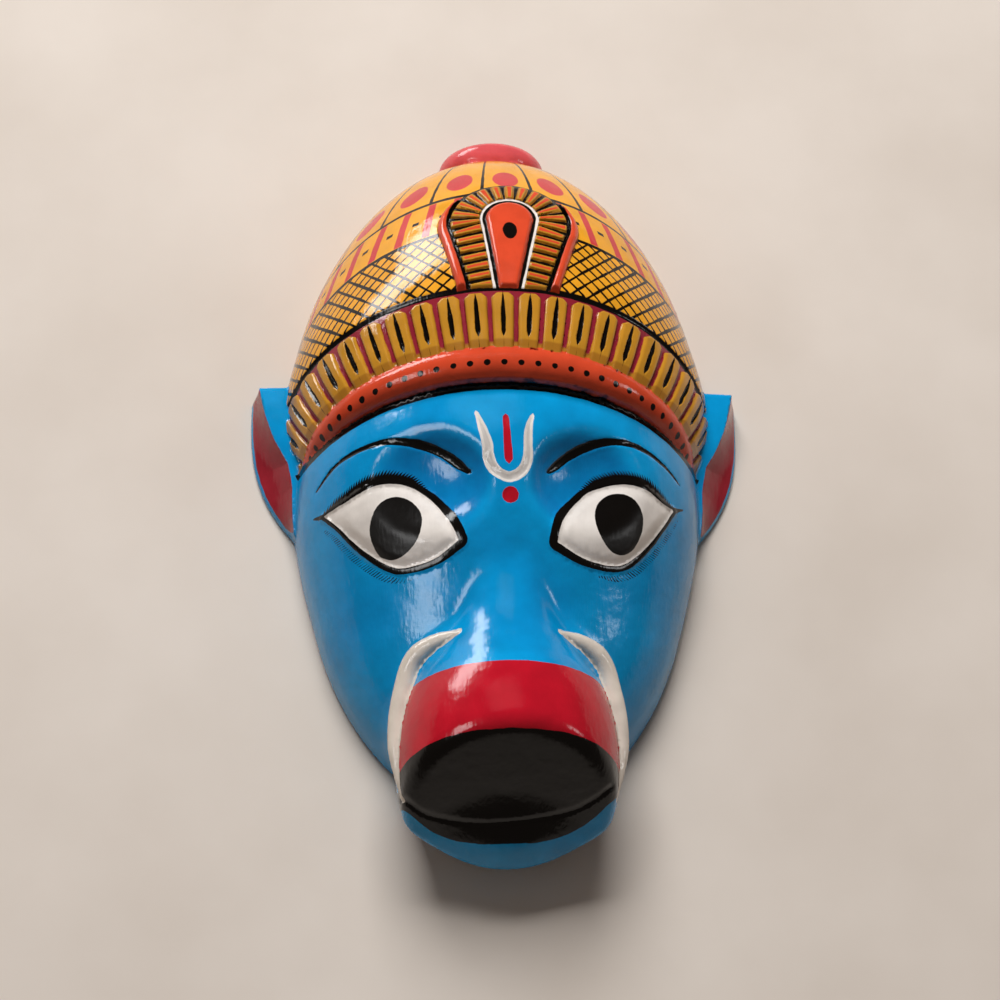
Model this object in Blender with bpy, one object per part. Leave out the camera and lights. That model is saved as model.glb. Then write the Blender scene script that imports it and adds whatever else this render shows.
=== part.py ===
"""Wooden boar-faced deity mask, carved from one block and painted.

The mask lies on its back with its flat rim on the floor. +Z comes out of the face, +Y points
to the crown and +X to the viewer's right. The origin is on the floor, in the middle of the
mask's footprint. Lengths are metres. The head is a set of eggs and rods blended into one form;
rays cast on that form place the skin, and the carving is joined to it or cut from it.
"""

import math

import bmesh
import bpy
import numpy as np
from mathutils import Matrix, Vector

# Crown: an egg whose widest line lies at CROWN_Y, drawn in below it to meet the face.
CROWN_Y = 0.033
CROWN_HALF_WIDTH = 0.0928
CROWN_RISE = 0.1270
CROWN_DROP = 0.075
CROWN_DEPTH = 0.086
CROWN_TAPER = 0.075

# Lines across the crown lie in planes that lean back: y = foot + lean * z.
BAND_EDGE_FOOT = -0.005
BAND_EDGE_LEAN = 0.28
FLUTE_FOOT = -0.003
FLUTE_LEAN = 0.405
FLUTE_TOP_FOOT = 0.022
FLUTE_TOP_LEAN = 0.455

# Face: a long egg with a fuller forehead.
FACE_Y = -0.020
FACE_HALF_WIDTH = 0.0838
FACE_HALF_LENGTH = 0.1245
FACE_DEPTH = 0.066
FOREHEAD_Y = -0.002
FOREHEAD_HALF_WIDTH = 0.083
FOREHEAD_HALF_LENGTH = 0.075
FOREHEAD_DEPTH = 0.081

# Nose: a ridge that runs from between the eyes to the snout.
RIDGE_TOP_Y = -0.030
RIDGE_FOOT_Y = -0.085
RIDGE_HEIGHT = 0.050
RIDGE_TOP_RADIUS = 0.016
RIDGE_FOOT_RADIUS = 0.021

# Snout: a blunt barrel whose end is cut to a broad oval face.
SNOUT_Y = -0.130
SNOUT_HEIGHT = 0.038
SNOUT_HALF_WIDTH = 0.0448
SNOUT_HALF_LENGTH = 0.060
SNOUT_DEPTH = 0.048
SNOUT_UNDERSIDE = 0.018
SNOUT_FACE_Y = -0.1425
SNOUT_FACE_HEIGHT = 0.0605
SNOUT_FACE_ANGLE = math.radians(58)
SNOUT_FACE_EDGE = 0.005

# Chin under the snout.
CHIN_Y = -0.120
CHIN_HEIGHT = 0.022
CHIN_HALF_WIDTH = 0.0452
CHIN_HALF_LENGTH = 0.048
CHIN_DEPTH = 0.030

# Mouth groove across the foot of the snout face.
MOUTH_DROP = 0.019
MOUTH_HALF_WIDTH = 0.0415
MOUTH_CURL = 0.008
MOUTH_RADIUS = 0.0016

# Soft blends between the forms.
FACE_BLEND = 0.022
NOSE_BLEND = 0.011
SNOUT_BLEND = 0.010
CHIN_BLEND = 0.008

# Eye sockets, eyes and brows, given for the +X side.
SOCKET_CENTRE = (0.047, -0.026, 0.088)
SOCKET_HALF = (0.042, 0.031, 0.027)
SOCKET_BLEND = 0.010
EYE_X = 0.0465
EYE_Y = -0.0375
EYE_HALF_LENGTH = 0.0290
EYE_RISE = 0.0190
EYE_FALL = 0.0165
EYE_FULLNESS = 0.72
EYE_SLANT = math.radians(20)
EYE_BULGE = 0.0030
EYE_RINGS = ((1.0, 0.15), (0.72, 0.68), (0.36, 0.95))
EYE_THICKNESS = 0.012
LID_RADIUS = 0.0013
BROW_X = 0.0480
BROW_Y = -0.0165
BROW_HALF_LENGTH = 0.0330
BROW_ARCH = 0.0145
BROW_SLANT = math.radians(1)
BROW_RADIUS = 0.0021
BROW_TIP_RADIUS = 0.0007

# Hollow back.
WALL = 0.013
HOLLOW_ROW_SHARE = 0.42
HOLLOW_COLUMNS = 18

# Headband roll along the lower edge of the crown.
ROLL_RADIUS = 0.0078
ROLL_END_RADIUS = 0.0030
ROLL_SINK = 0.0048

# Fluted tier above the headband.
FLUTE_COUNT = 23
FLUTE_ARC = math.radians(172)
FLUTE_WIDTH = 0.0072
FLUTE_PROUD = 0.0019
FLUTE_SUNK = 0.0035
FLUTE_ROUNDING = 0.0016
FLUTE_GAP = 0.0012
SLIT_WIDTH = 0.0017
SLIT_LENGTH = 0.016
SLIT_DEPTH = 0.0012

# Crest ornament on the front of the crown.
CREST_Y = 0.0905
CREST_HALF_WIDTH = 0.0265
CREST_RISE = 0.0305
CREST_FALL = 0.0290
CREST_FOOT_HALF_WIDTH = 0.0160
CREST_ARC_START = math.radians(-38)
CREST_BORDER_RADIUS = 0.0030
CREST_RIB_COUNT = 19
CREST_RIB_LENGTH = 0.0078
CREST_RIB_WIDTH = 0.0026
CREST_RIB_PROUD = 0.0016
CREST_RIB_SUNK = 0.0030
CREST_RIB_SLANT = 0.35
DROP_HALF_WIDTH = 0.0098
DROP_FOOT_HALF_WIDTH = 0.0040
DROP_RISE = 0.0165
DROP_PROUD = 0.0026
DROP_SUNK = 0.0040

# Knob at the top of the crown.
KNOB_Y = 0.1545
KNOB_RADIUS = 0.0245
KNOB_NECK_RADIUS = 0.0180
KNOB_LENGTH = 0.0130
KNOB_ROUNDING = 0.0060
KNOB_ROOT = 0.012

# Ears: short wedges cut flat on top, with a ridge and a scooped outer side.
EAR_TOP_Y = 0.0430
EAR_LENGTH = 0.070
EAR_REACH = 0.1080
EAR_RIDGE_HEIGHT = 0.019
EAR_RIDGE_FALL = 0.45
EAR_RIDGE_TOP_SHARE = 0.75
EAR_RIDGE_LOW_SHARE = 0.13
EAR_RIDGE_LOW_AT = 0.70
EAR_ROOT_HEIGHT = 0.021
EAR_RIM_THICKNESS = 0.0035
EAR_SCOOP = 0.0025
EAR_ROOT = 0.014
EAR_TIP_THICKNESS = 0.0006
EAR_STEPS = 9

# Tusks: tapered crescents that rise from the mouth corners and hug the snout.
TUSK_ROOT_Y = -0.1460
TUSK_TIP_Y = -0.0830
TUSK_ROOT_ANGLE = math.radians(6)
TUSK_TIP_ANGLE = math.radians(47)
TUSK_SWEEP = 3.2
TUSK_CROWDING = 1.3
TUSK_RADIUS = 0.0046
TUSK_SINK = 0.0012
TUSK_ROOT_SINK = 0.0028
TUSK_ROOT_RADIUS = 0.0034
TUSK_TIP_RADIUS = 0.0008
TUSK_FULLEST_AT = 0.36
TUSK_POINT_RADIUS = 0.0040
TUSK_POINT_AT = 0.78
TUSK_STEPS = 12

# How finely the head is faceted.
CHIN_TURN_ROWS = 11
BODY_ROWS = 27
CROWN_TURN_ROWS = 5
HEAD_COLUMNS = 38
CHIN_TURN_Y = -0.118
CROWN_TURN_Y = 0.118
LEAN_AT_CHIN = math.radians(-4)
LEAN_AT_CROWN = math.radians(22)
SKIRT = 0.006
REACH = 0.160

WOOD_COLOUR = (0.006, 0.330, 0.620, 1.0)
WOOD_ROUGHNESS = 0.25


def clear_scene():
    """Remove every object so the model starts empty."""
    for obj in list(bpy.data.objects):
        bpy.data.objects.remove(obj, do_unlink=True)


def make_collection(name):
    """Add a collection to the scene."""
    collection = bpy.data.collections.new(name)
    bpy.context.scene.collection.children.link(collection)
    return collection


def egg(points, centre, half):
    """Distance to an ellipsoid, good near its surface."""
    scaled = (points - np.array(centre)) / half
    reach = np.linalg.norm(scaled, axis=-1)
    slope = np.linalg.norm(scaled / half, axis=-1)
    return reach * (reach - 1.0) / np.maximum(slope, 1e-6)


def taper(points, start, end, start_radius, end_radius):
    """Distance to a rod with round ends whose radius changes along it."""
    start = np.array(start)
    axis = np.array(end) - start
    along = np.clip((points - start) @ axis / (axis @ axis), 0.0, 1.0)
    gap = np.linalg.norm(points - start - along[..., None] * axis, axis=-1)
    return gap - (start_radius + (end_radius - start_radius) * along)


def join_soft(first, second, blend):
    """Union of two distances with a fillet."""
    share = np.clip(0.5 + 0.5 * (second - first) / blend, 0.0, 1.0)
    return second + (first - second) * share - blend * share * (1.0 - share)


def cut_soft(first, second, blend):
    """Intersection of two distances with a rounded edge."""
    return -join_soft(-first, -second, blend)


def mirrored(points):
    """Fold the points on to the +X side."""
    return np.stack([np.abs(points[..., 0]), points[..., 1], points[..., 2]], axis=-1)


def plane_above(points, foot, lean):
    """Distance below a leaning plane y = foot + lean * z."""
    return (foot + lean * points[..., 2] - points[..., 1]) / math.hypot(1.0, lean)


def crown_egg(points):
    """Distance to the egg of the crown, which narrows a little towards its top."""
    drop = np.where(points[..., 1] > CROWN_Y, CROWN_RISE, CROWN_DROP)
    taper_share = np.clip((points[..., 1] - CROWN_Y) / CROWN_RISE, 0.0, 1.0)
    width = CROWN_HALF_WIDTH * (1.0 - CROWN_TAPER * taper_share)
    half = np.stack([width, drop, np.full_like(drop, CROWN_DEPTH)], axis=-1)
    return egg(points, (0.0, CROWN_Y, 0.0), half)


def crown_form(points):
    """The crown down to the lower edge of its headband."""
    return np.maximum(crown_egg(points), plane_above(points, BAND_EDGE_FOOT, BAND_EDGE_LEAN))


def face_egg(points):
    """Distance to the long egg of the face."""
    return egg(points, (0.0, FACE_Y, 0.0), (FACE_HALF_WIDTH, FACE_HALF_LENGTH, FACE_DEPTH))


def snout_egg(points):
    """Distance to the egg of the snout before its end is cut."""
    depth = np.where(points[..., 2] > SNOUT_HEIGHT, SNOUT_DEPTH, SNOUT_UNDERSIDE)
    width = np.full_like(depth, SNOUT_HALF_WIDTH)
    length = np.full_like(depth, SNOUT_HALF_LENGTH)
    return egg(points, (0.0, SNOUT_Y, SNOUT_HEIGHT), np.stack([width, length, depth], axis=-1))


def snout_form(points):
    """The snout with its end cut flat."""
    body = snout_egg(points)
    outward = np.array([0.0, -math.sin(SNOUT_FACE_ANGLE), math.cos(SNOUT_FACE_ANGLE)])
    face = (points - np.array([0.0, SNOUT_FACE_Y, SNOUT_FACE_HEIGHT])) @ outward
    return cut_soft(body, face, SNOUT_FACE_EDGE)


def face_form(points):
    """Forehead, cheeks, nose, snout, chin and eye sockets."""
    forehead_half = (FOREHEAD_HALF_WIDTH, FOREHEAD_HALF_LENGTH, FOREHEAD_DEPTH)
    forehead = egg(points, (0.0, FOREHEAD_Y, 0.0), forehead_half)
    face = join_soft(face_egg(points), forehead, FACE_BLEND)
    face = cut_soft(face, -egg(mirrored(points), SOCKET_CENTRE, SOCKET_HALF), SOCKET_BLEND)
    ridge_top = (0.0, RIDGE_TOP_Y, RIDGE_HEIGHT)
    ridge_foot = (0.0, RIDGE_FOOT_Y, RIDGE_HEIGHT)
    ridge = taper(points, ridge_top, ridge_foot, RIDGE_TOP_RADIUS, RIDGE_FOOT_RADIUS)
    face = join_soft(face, ridge, NOSE_BLEND)
    face = join_soft(face, snout_form(points), SNOUT_BLEND)
    chin_half = (CHIN_HALF_WIDTH, CHIN_HALF_LENGTH, CHIN_DEPTH)
    chin = egg(points, (0.0, CHIN_Y, CHIN_HEIGHT), chin_half)
    return join_soft(face, chin, CHIN_BLEND)


def head_form(points):
    """Distance to the whole head without its applied carving."""
    return np.minimum(face_form(points), crown_form(points))


def hollow_form(points):
    """Plain form that the hollowed back follows, one wall inside it."""
    inside = join_soft(face_egg(points), crown_egg(points), FACE_BLEND)
    return join_soft(inside, snout_form(points), FACE_BLEND)


def march(start, direction, depth=0.0, form=head_form):
    """Distance along each ray at which it leaves the form, depth below the surface."""
    near = np.zeros(start.shape[:-1])
    far = np.full(start.shape[:-1], REACH)
    for _ in range(34):
        middle = (near + far) / 2.0
        inside = form(start + direction * middle[..., None]) < -depth
        near = np.where(inside, middle, near)
        far = np.where(inside, far, middle)
    return near


def surface_point(x, y, form=head_form):
    """Point of the head straight above a place on the floor."""
    start = np.array([[x, y, 0.0]])
    height = march(start, np.array([[0.0, 0.0, 1.0]]), form=form)[0]
    return Vector((x, y, height))


def surface_normal(point, form=head_form):
    """Outward direction of the head at a point on it."""
    step = 0.0008
    base = np.array(point)
    slope = [form(base + step * axis) - form(base - step * axis) for axis in np.eye(3)]
    return Vector(slope).normalized()


def crown_point(foot, lean, angle):
    """Point of the crown in a leaning plane, angle measured from +X over the front."""
    ray = Vector((math.cos(angle), lean * math.sin(angle), math.sin(angle))).normalized()
    start = np.array([[0.0, foot, 0.0]])
    reach = march(start, np.array([ray]), form=crown_form)[0]
    return Vector((0.0, foot, 0.0)) + ray * reach


def ring_planes(row_share):
    """Centre and lean of each ring of facets, from under the chin to the top of the crown."""
    chin_rows = max(4, round(CHIN_TURN_ROWS * row_share))
    body_rows = max(8, round(BODY_ROWS * row_share))
    crown_rows = max(3, round(CROWN_TURN_ROWS * row_share))
    planes = []
    for row in range(chin_rows):
        share = row / chin_rows
        planes.append((CHIN_TURN_Y, -math.pi / 2 + (math.pi / 2 + LEAN_AT_CHIN) * share))
    for row in range(body_rows):
        share = row / body_rows
        centre = CHIN_TURN_Y + (CROWN_TURN_Y - CHIN_TURN_Y) * share
        planes.append((centre, LEAN_AT_CHIN + (LEAN_AT_CROWN - LEAN_AT_CHIN) * share))
    for row in range(crown_rows + 1):
        share = row / crown_rows
        planes.append((CROWN_TURN_Y, LEAN_AT_CROWN + (math.pi / 2 - LEAN_AT_CROWN) * share))
    return planes


def skin_mesh(name, form, depth, row_share, columns, skirt):
    """Closed solid bounded by a form's skin, depth below its surface, its rim let down by a skirt."""
    planes = ring_planes(row_share)
    angles = np.linspace(0.0, math.pi, columns + 1)
    bm = bmesh.new()
    rings = []
    for centre, lean in planes:
        across = np.cos(angles)
        up = np.sin(angles)
        rays = np.stack([across, up * math.sin(lean), up * math.cos(lean)], axis=-1)
        start = np.tile(np.array([0.0, centre, 0.0]), (columns + 1, 1))
        points = start + rays * march(start, rays, depth, form)[:, None]
        points[:, 2] = np.maximum(points[:, 2], 0.0)
        rings.append([bm.verts.new(point) for point in points])
    for lower, upper in zip(rings, rings[1:]):
        for column in range(columns):
            bm.faces.new((lower[column], upper[column], upper[column + 1], lower[column + 1]))
    bmesh.ops.remove_doubles(bm, verts=bm.verts, dist=1e-6)
    bmesh.ops.dissolve_degenerate(bm, edges=bm.edges, dist=1e-6)
    rim = [edge for edge in bm.edges if edge.is_boundary]
    for vertex in {vertex for edge in rim for vertex in edge.verts}:
        vertex.co.z = -skirt
    bmesh.ops.holes_fill(bm, edges=rim, sides=0)
    bmesh.ops.recalc_face_normals(bm, faces=bm.faces)
    mesh = bpy.data.meshes.new(name)
    bm.to_mesh(mesh)
    bm.free()
    return mesh


def add_object(name, mesh, collection):
    """Put a mesh in a collection."""
    obj = bpy.data.objects.new(name, mesh)
    collection.objects.link(obj)
    return obj


def finish_bmesh(bm, name, collection):
    """Turn a bmesh into an object."""
    bmesh.ops.recalc_face_normals(bm, faces=bm.faces)
    mesh = bpy.data.meshes.new(name)
    bm.to_mesh(mesh)
    bm.free()
    return add_object(name, mesh, collection)


def frame_at(point, normal, along):
    """Matrix whose Z is the normal and whose Y runs along a direction on the surface."""
    z_axis = Vector(normal).normalized()
    x_axis = Vector(along).cross(z_axis).normalized()
    y_axis = z_axis.cross(x_axis)
    turn = Matrix((x_axis, y_axis, z_axis)).transposed()
    return Matrix.Translation(point) @ turn.to_4x4()


def add_block(bm, frame, size, rounding):
    """Rounded block in a frame, its top half a size above the frame's origin."""
    block = bmesh.new()
    bmesh.ops.create_cube(block, size=1.0)
    bmesh.ops.scale(block, vec=size, verts=block.verts)
    edges = [edge for edge in block.edges if max(vertex.co.z for vertex in edge.verts) > 0.0]
    if rounding > 0.0:
        bmesh.ops.bevel(block, geom=edges, offset=rounding, segments=1, affect="EDGES")
    block.transform(frame)
    mesh = bpy.data.meshes.new("block")
    block.to_mesh(mesh)
    block.free()
    bm.from_mesh(mesh)
    bpy.data.meshes.remove(mesh)


def tube_object(name, points, radii, sides, closed, collection):
    """Tapered tube through points, as a closed mesh."""
    curve = bpy.data.curves.new(name, "CURVE")
    curve.dimensions = "3D"
    curve.bevel_depth = 1.0
    curve.bevel_resolution = (sides - 4) // 2
    curve.use_fill_caps = not closed
    spline = curve.splines.new("POLY")
    spline.points.add(len(points) - 1)
    for slot, point, radius in zip(spline.points, points, radii):
        slot.co = (point[0], point[1], point[2], 1.0)
        slot.radius = radius
    spline.use_cyclic_u = closed
    guide = bpy.data.objects.new(name, curve)
    collection.objects.link(guide)
    graph = bpy.context.evaluated_depsgraph_get()
    mesh = bpy.data.meshes.new_from_object(guide.evaluated_get(graph))
    bm = bmesh.new()
    bm.from_mesh(mesh)
    bmesh.ops.remove_doubles(bm, verts=bm.verts, dist=1e-7)
    bpy.data.objects.remove(guide, do_unlink=True)
    bpy.data.meshes.remove(mesh)
    return finish_bmesh(bm, name, collection)


def mirror_across(obj):
    """Add the mirror image of a piece on the other side, as one mesh of two bodies."""
    bm = bmesh.new()
    bm.from_mesh(obj.data)
    copy = bm.copy()
    copy.transform(Matrix.Scale(-1.0, 4, (1.0, 0.0, 0.0)))
    bmesh.ops.reverse_faces(copy, faces=copy.faces)
    twin = bpy.data.meshes.new("twin")
    copy.to_mesh(twin)
    bm.from_mesh(twin)
    bm.to_mesh(obj.data)
    bm.free()
    copy.free()
    bpy.data.meshes.remove(twin)
    return obj


def make_roll(collection):
    """Rounded headband roll along the lower edge of the crown."""
    steps = 40
    points = []
    radii = []
    for step in range(steps + 1):
        angle = math.pi * step / steps
        foot = (BAND_EDGE_FOOT + FLUTE_FOOT) / 2.0
        lean = (BAND_EDGE_LEAN + FLUTE_LEAN) / 2.0
        point = crown_point(foot, lean, angle)
        share = math.sin(angle)
        radius = ROLL_END_RADIUS + (ROLL_RADIUS - ROLL_END_RADIUS) * share
        sink = ROLL_SINK * radius / ROLL_RADIUS
        points.append(point - surface_normal(point, crown_form) * sink)
        radii.append(radius)
    return tube_object("roll", points, radii, 8, False, collection)


def flute_frames():
    """Frame and length of each flute, evenly spaced round the crown."""
    fine = 240
    edge = (math.pi - FLUTE_ARC) / 2.0
    angles = [edge + FLUTE_ARC * step / fine for step in range(fine + 1)]
    lows = [crown_point(FLUTE_FOOT, FLUTE_LEAN, angle) for angle in angles]
    tops = [crown_point(FLUTE_TOP_FOOT, FLUTE_TOP_LEAN, angle) for angle in angles]
    middles = [(low + top) / 2.0 for low, top in zip(lows, tops)]
    travel = [0.0]
    for first, second in zip(middles, middles[1:]):
        travel.append(travel[-1] + (second - first).length)
    frames = []
    for index in range(FLUTE_COUNT):
        target = travel[-1] * (index + 0.5) / FLUTE_COUNT
        spot = float(np.interp(target, travel, range(fine + 1)))
        near = min(int(spot), fine - 1)
        part = spot - near
        low = lows[near].lerp(lows[near + 1], part)
        top = tops[near].lerp(tops[near + 1], part)
        middle = (low + top) / 2.0
        normal = surface_normal(middle, crown_form)
        surface = middle + normal * -float(crown_form(np.array(middle)))
        frames.append((frame_at(surface, normal, top - low), (top - low).length))
    return frames


def make_flutes(collection):
    """Row of rounded tongues above the headband."""
    bm = bmesh.new()
    for frame, length in flute_frames():
        thickness = FLUTE_PROUD + FLUTE_SUNK
        size = (FLUTE_WIDTH, length - 2.0 * FLUTE_GAP, thickness)
        lift = Matrix.Translation((0.0, 0.0, FLUTE_PROUD - thickness / 2.0))
        add_block(bm, frame @ lift, size, FLUTE_ROUNDING)
    return finish_bmesh(bm, "flutes", collection)


def make_slits(collection):
    """Slot cut down the middle of each flute."""
    bm = bmesh.new()
    for frame, _ in flute_frames():
        size = (SLIT_WIDTH, SLIT_LENGTH, 2.0 * SLIT_DEPTH)
        lift = Matrix.Translation((0.0, 0.0, FLUTE_PROUD))
        add_block(bm, frame @ lift, size, 0.0)
    return finish_bmesh(bm, "slits", collection)


def crest_outline(inset):
    """Horseshoe outline of the crest ornament, open at its foot, as places on the crown."""
    steps = 26
    places = []
    for step in range(steps + 1):
        turn = CREST_ARC_START + (math.pi - 2.0 * CREST_ARC_START) * step / steps
        half_width = CREST_HALF_WIDTH - inset
        x = half_width * math.cos(turn)
        y = (CREST_RISE - inset) * math.sin(turn)
        places.append((x, CREST_Y + y))
    foot = CREST_FOOT_HALF_WIDTH - inset
    foot_y = CREST_Y - CREST_FALL
    return [(foot, foot_y)] + places + [(-foot, foot_y)]


def make_crest_border(collection):
    """Rounded border of the crest ornament."""
    points = []
    for x, y in crest_outline(CREST_BORDER_RADIUS / 2.0):
        points.append(surface_point(x, y, crown_form))
    radii = [CREST_BORDER_RADIUS] * len(points)
    return tube_object("crest_border", points, radii, 8, False, collection)


def make_crest_ribs(collection):
    """Ring of short ribs inside the border."""
    bm = bmesh.new()
    outline = crest_outline(2.0 * CREST_BORDER_RADIUS + CREST_RIB_LENGTH / 2.0)
    travel = [0.0]
    for first, second in zip(outline, outline[1:]):
        travel.append(travel[-1] + math.dist(first, second))
    for index in range(CREST_RIB_COUNT):
        target = travel[-1] * (index + 0.5) / CREST_RIB_COUNT
        x = float(np.interp(target, travel, [place[0] for place in outline]))
        y = float(np.interp(target, travel, [place[1] for place in outline]))
        point = surface_point(x, y, crown_form)
        normal = surface_normal(point, crown_form)
        outward = Vector((x, max(y - CREST_Y, -CREST_RIB_SLANT * abs(x)), 0.0))
        thickness = CREST_RIB_PROUD + CREST_RIB_SUNK
        lift = Matrix.Translation((0.0, 0.0, CREST_RIB_PROUD - thickness / 2.0))
        size = (CREST_RIB_WIDTH, CREST_RIB_LENGTH, thickness)
        add_block(bm, frame_at(point, normal, outward) @ lift, size, 0.0)
    return finish_bmesh(bm, "crest_ribs", collection)


def make_drop(collection):
    """Tapered drop in the middle of the crest, cut flat at its foot."""
    steps = 12
    places = []
    for step in range(steps + 1):
        turn = math.pi * step / steps
        places.append((DROP_HALF_WIDTH * math.cos(turn), CREST_Y + DROP_RISE * math.sin(turn)))
    foot_y = CREST_Y - CREST_FALL + CREST_BORDER_RADIUS
    places.append((-DROP_FOOT_HALF_WIDTH, foot_y))
    places.append((DROP_FOOT_HALF_WIDTH, foot_y))
    bm = bmesh.new()
    top = []
    base = []
    for x, y in places:
        point = surface_point(x, y, crown_form)
        normal = surface_normal(point, crown_form)
        top.append(bm.verts.new(point + normal * DROP_PROUD))
        base.append(bm.verts.new(point - normal * DROP_SUNK))
    bm.faces.new(top)
    bm.faces.new(list(reversed(base)))
    for index in range(len(places)):
        after = (index + 1) % len(places)
        bm.faces.new((base[index], base[after], top[after], top[index]))
    return finish_bmesh(bm, "drop", collection)


def make_knob(collection):
    """Turned knob on the top of the crown, its axis along the mask."""
    profile = [(0.0, KNOB_LENGTH)]
    for step in range(5):
        turn = math.pi / 2.0 * (1.0 - step / 4)
        x = KNOB_RADIUS - KNOB_ROUNDING + KNOB_ROUNDING * math.cos(turn)
        y = KNOB_LENGTH - KNOB_ROUNDING + KNOB_ROUNDING * math.sin(turn)
        profile.append((x, y))
    profile += [(KNOB_NECK_RADIUS, 0.0), (KNOB_NECK_RADIUS, -KNOB_ROOT), (0.0, -KNOB_ROOT)]
    bm = bmesh.new()
    vertices = [bm.verts.new((x, 0.0, y)) for x, y in profile]
    edges = [bm.edges.new(pair) for pair in zip(vertices, vertices[1:])]
    bmesh.ops.spin(bm, geom=vertices + edges, cent=(0.0, 0.0, 0.0), axis=(0.0, 0.0, 1.0),
                   angle=2.0 * math.pi, steps=28, use_merge=True)
    bmesh.ops.remove_doubles(bm, verts=bm.verts, dist=1e-6)
    bm.transform(Matrix.Translation((0.0, KNOB_Y, 0.0)) @ Matrix.Rotation(-math.pi / 2.0, 4, "X"))
    return finish_bmesh(bm, "knob", collection)


def make_ears(collection):
    """Two wedge ears, lofted from their flat top to their point."""
    bm = bmesh.new()
    rings = []
    for step in range(EAR_STEPS + 1):
        share = step / EAR_STEPS
        y = EAR_TOP_Y - EAR_LENGTH * share
        start = np.array([[0.0, y, 0.0]])
        side = march(start, np.array([[1.0, 0.0, 0.0]]))[0]
        swell = 1.0 - share**3
        outer = FACE_HALF_WIDTH + (EAR_REACH - FACE_HALF_WIDTH) * swell
        outer = max(outer, side + EAR_TIP_THICKNESS)
        inward = min(share / EAR_RIDGE_LOW_AT, 1.0)
        ridge_share = EAR_RIDGE_TOP_SHARE + (EAR_RIDGE_LOW_SHARE - EAR_RIDGE_TOP_SHARE) * inward
        ridge = side + (outer - side) * ridge_share
        fall = 1.0 - EAR_RIDGE_FALL * share**3
        height = EAR_RIDGE_HEIGHT * fall
        rim = EAR_RIM_THICKNESS
        scoop_x = (ridge + outer) / 2.0 - EAR_SCOOP * swell
        scoop_z = (height + rim) / 2.0 - EAR_SCOOP * swell
        section = [(side - EAR_ROOT, -SKIRT), (side - EAR_ROOT, EAR_ROOT_HEIGHT * fall), (ridge, height),
                   (scoop_x, scoop_z), (outer, rim), (outer, -SKIRT)]
        rings.append([bm.verts.new((x, y, z)) for x, z in section])
    for first, second in zip(rings, rings[1:]):
        count = len(first)
        for index in range(count):
            after = (index + 1) % count
            bm.faces.new((first[index], first[after], second[after], second[index]))
    bm.faces.new(rings[0])
    bm.faces.new(list(reversed(rings[-1])))
    bmesh.ops.triangulate(bm, faces=bm.faces)
    return mirror_across(finish_bmesh(bm, "ears", collection))


def make_tusks(collection):
    """Two tapered tusks that hug the snout."""
    points = []
    radii = []
    for step in range(TUSK_STEPS + 1):
        share = step / TUSK_STEPS
        angle = TUSK_ROOT_ANGLE + (TUSK_TIP_ANGLE - TUSK_ROOT_ANGLE) * share**TUSK_SWEEP
        travel = 1.0 - (1.0 - share) ** TUSK_CROWDING
        start = np.array([[0.0, TUSK_ROOT_Y + (TUSK_TIP_Y - TUSK_ROOT_Y) * travel, SNOUT_HEIGHT]])
        ray = np.array([[math.cos(angle), 0.0, math.sin(angle)]])
        sink = TUSK_SINK + (TUSK_ROOT_SINK - TUSK_SINK) * (1.0 - share) ** 2
        points.append(Vector(start[0] + ray[0] * (march(start, ray, form=face_form)[0] - sink)))
        stations = (0.0, TUSK_FULLEST_AT, TUSK_POINT_AT, 1.0)
        widths = (TUSK_ROOT_RADIUS, TUSK_RADIUS, TUSK_POINT_RADIUS, TUSK_TIP_RADIUS)
        radii.append(float(np.interp(share, stations, widths)))
    return mirror_across(tube_object("tusks", points, radii, 8, False, collection))


def eye_outline(steps):
    """Almond outline of the +X eye, from its inner corner round its upper lid."""
    along = Vector((math.cos(EYE_SLANT), math.sin(EYE_SLANT)))
    across = Vector((-along.y, along.x))
    places = []
    for step in range(2 * steps):
        if step < steps:
            share = step / steps
            rise = EYE_RISE * math.sin(math.pi * share) ** EYE_FULLNESS
        else:
            share = 2.0 - step / steps
            rise = -EYE_FALL * math.sin(math.pi * share) ** EYE_FULLNESS
        reach = EYE_HALF_LENGTH * (2.0 * share - 1.0)
        places.append(Vector((EYE_X, EYE_Y)) + along * reach + across * rise)
    return places


def make_eyes(collection):
    """Two almond eyeballs that swell out of their sockets."""
    steps = 9
    bm = bmesh.new()
    outline = eye_outline(steps)
    rings = []
    for inset, lift in EYE_RINGS:
        ring = []
        for place in outline:
            x, y = Vector((EYE_X, EYE_Y)).lerp(place, inset)
            point = surface_point(x, y)
            ring.append(bm.verts.new(point + surface_normal(point) * EYE_BULGE * lift))
        rings.append(ring)
    crest = surface_point(EYE_X, EYE_Y)
    tip = bm.verts.new(crest + surface_normal(crest) * EYE_BULGE)
    base = [bm.verts.new(vertex.co - Vector((0.0, 0.0, EYE_THICKNESS))) for vertex in rings[0]]
    count = len(outline)
    for lower, upper in zip([base] + rings, rings):
        for index in range(count):
            after = (index + 1) % count
            bm.faces.new((lower[index], lower[after], upper[after], upper[index]))
    for index in range(count):
        bm.faces.new((rings[-1][index], rings[-1][(index + 1) % count], tip))
    bm.faces.new(base)
    bmesh.ops.triangulate(bm, faces=bm.faces)
    return mirror_across(finish_bmesh(bm, "eyes", collection))


def make_lids(collection):
    """Raised line round each eye."""
    points = [surface_point(*place) for place in eye_outline(12)]
    return mirror_across(tube_object("lids", points, [LID_RADIUS] * len(points), 4, True, collection))


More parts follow.
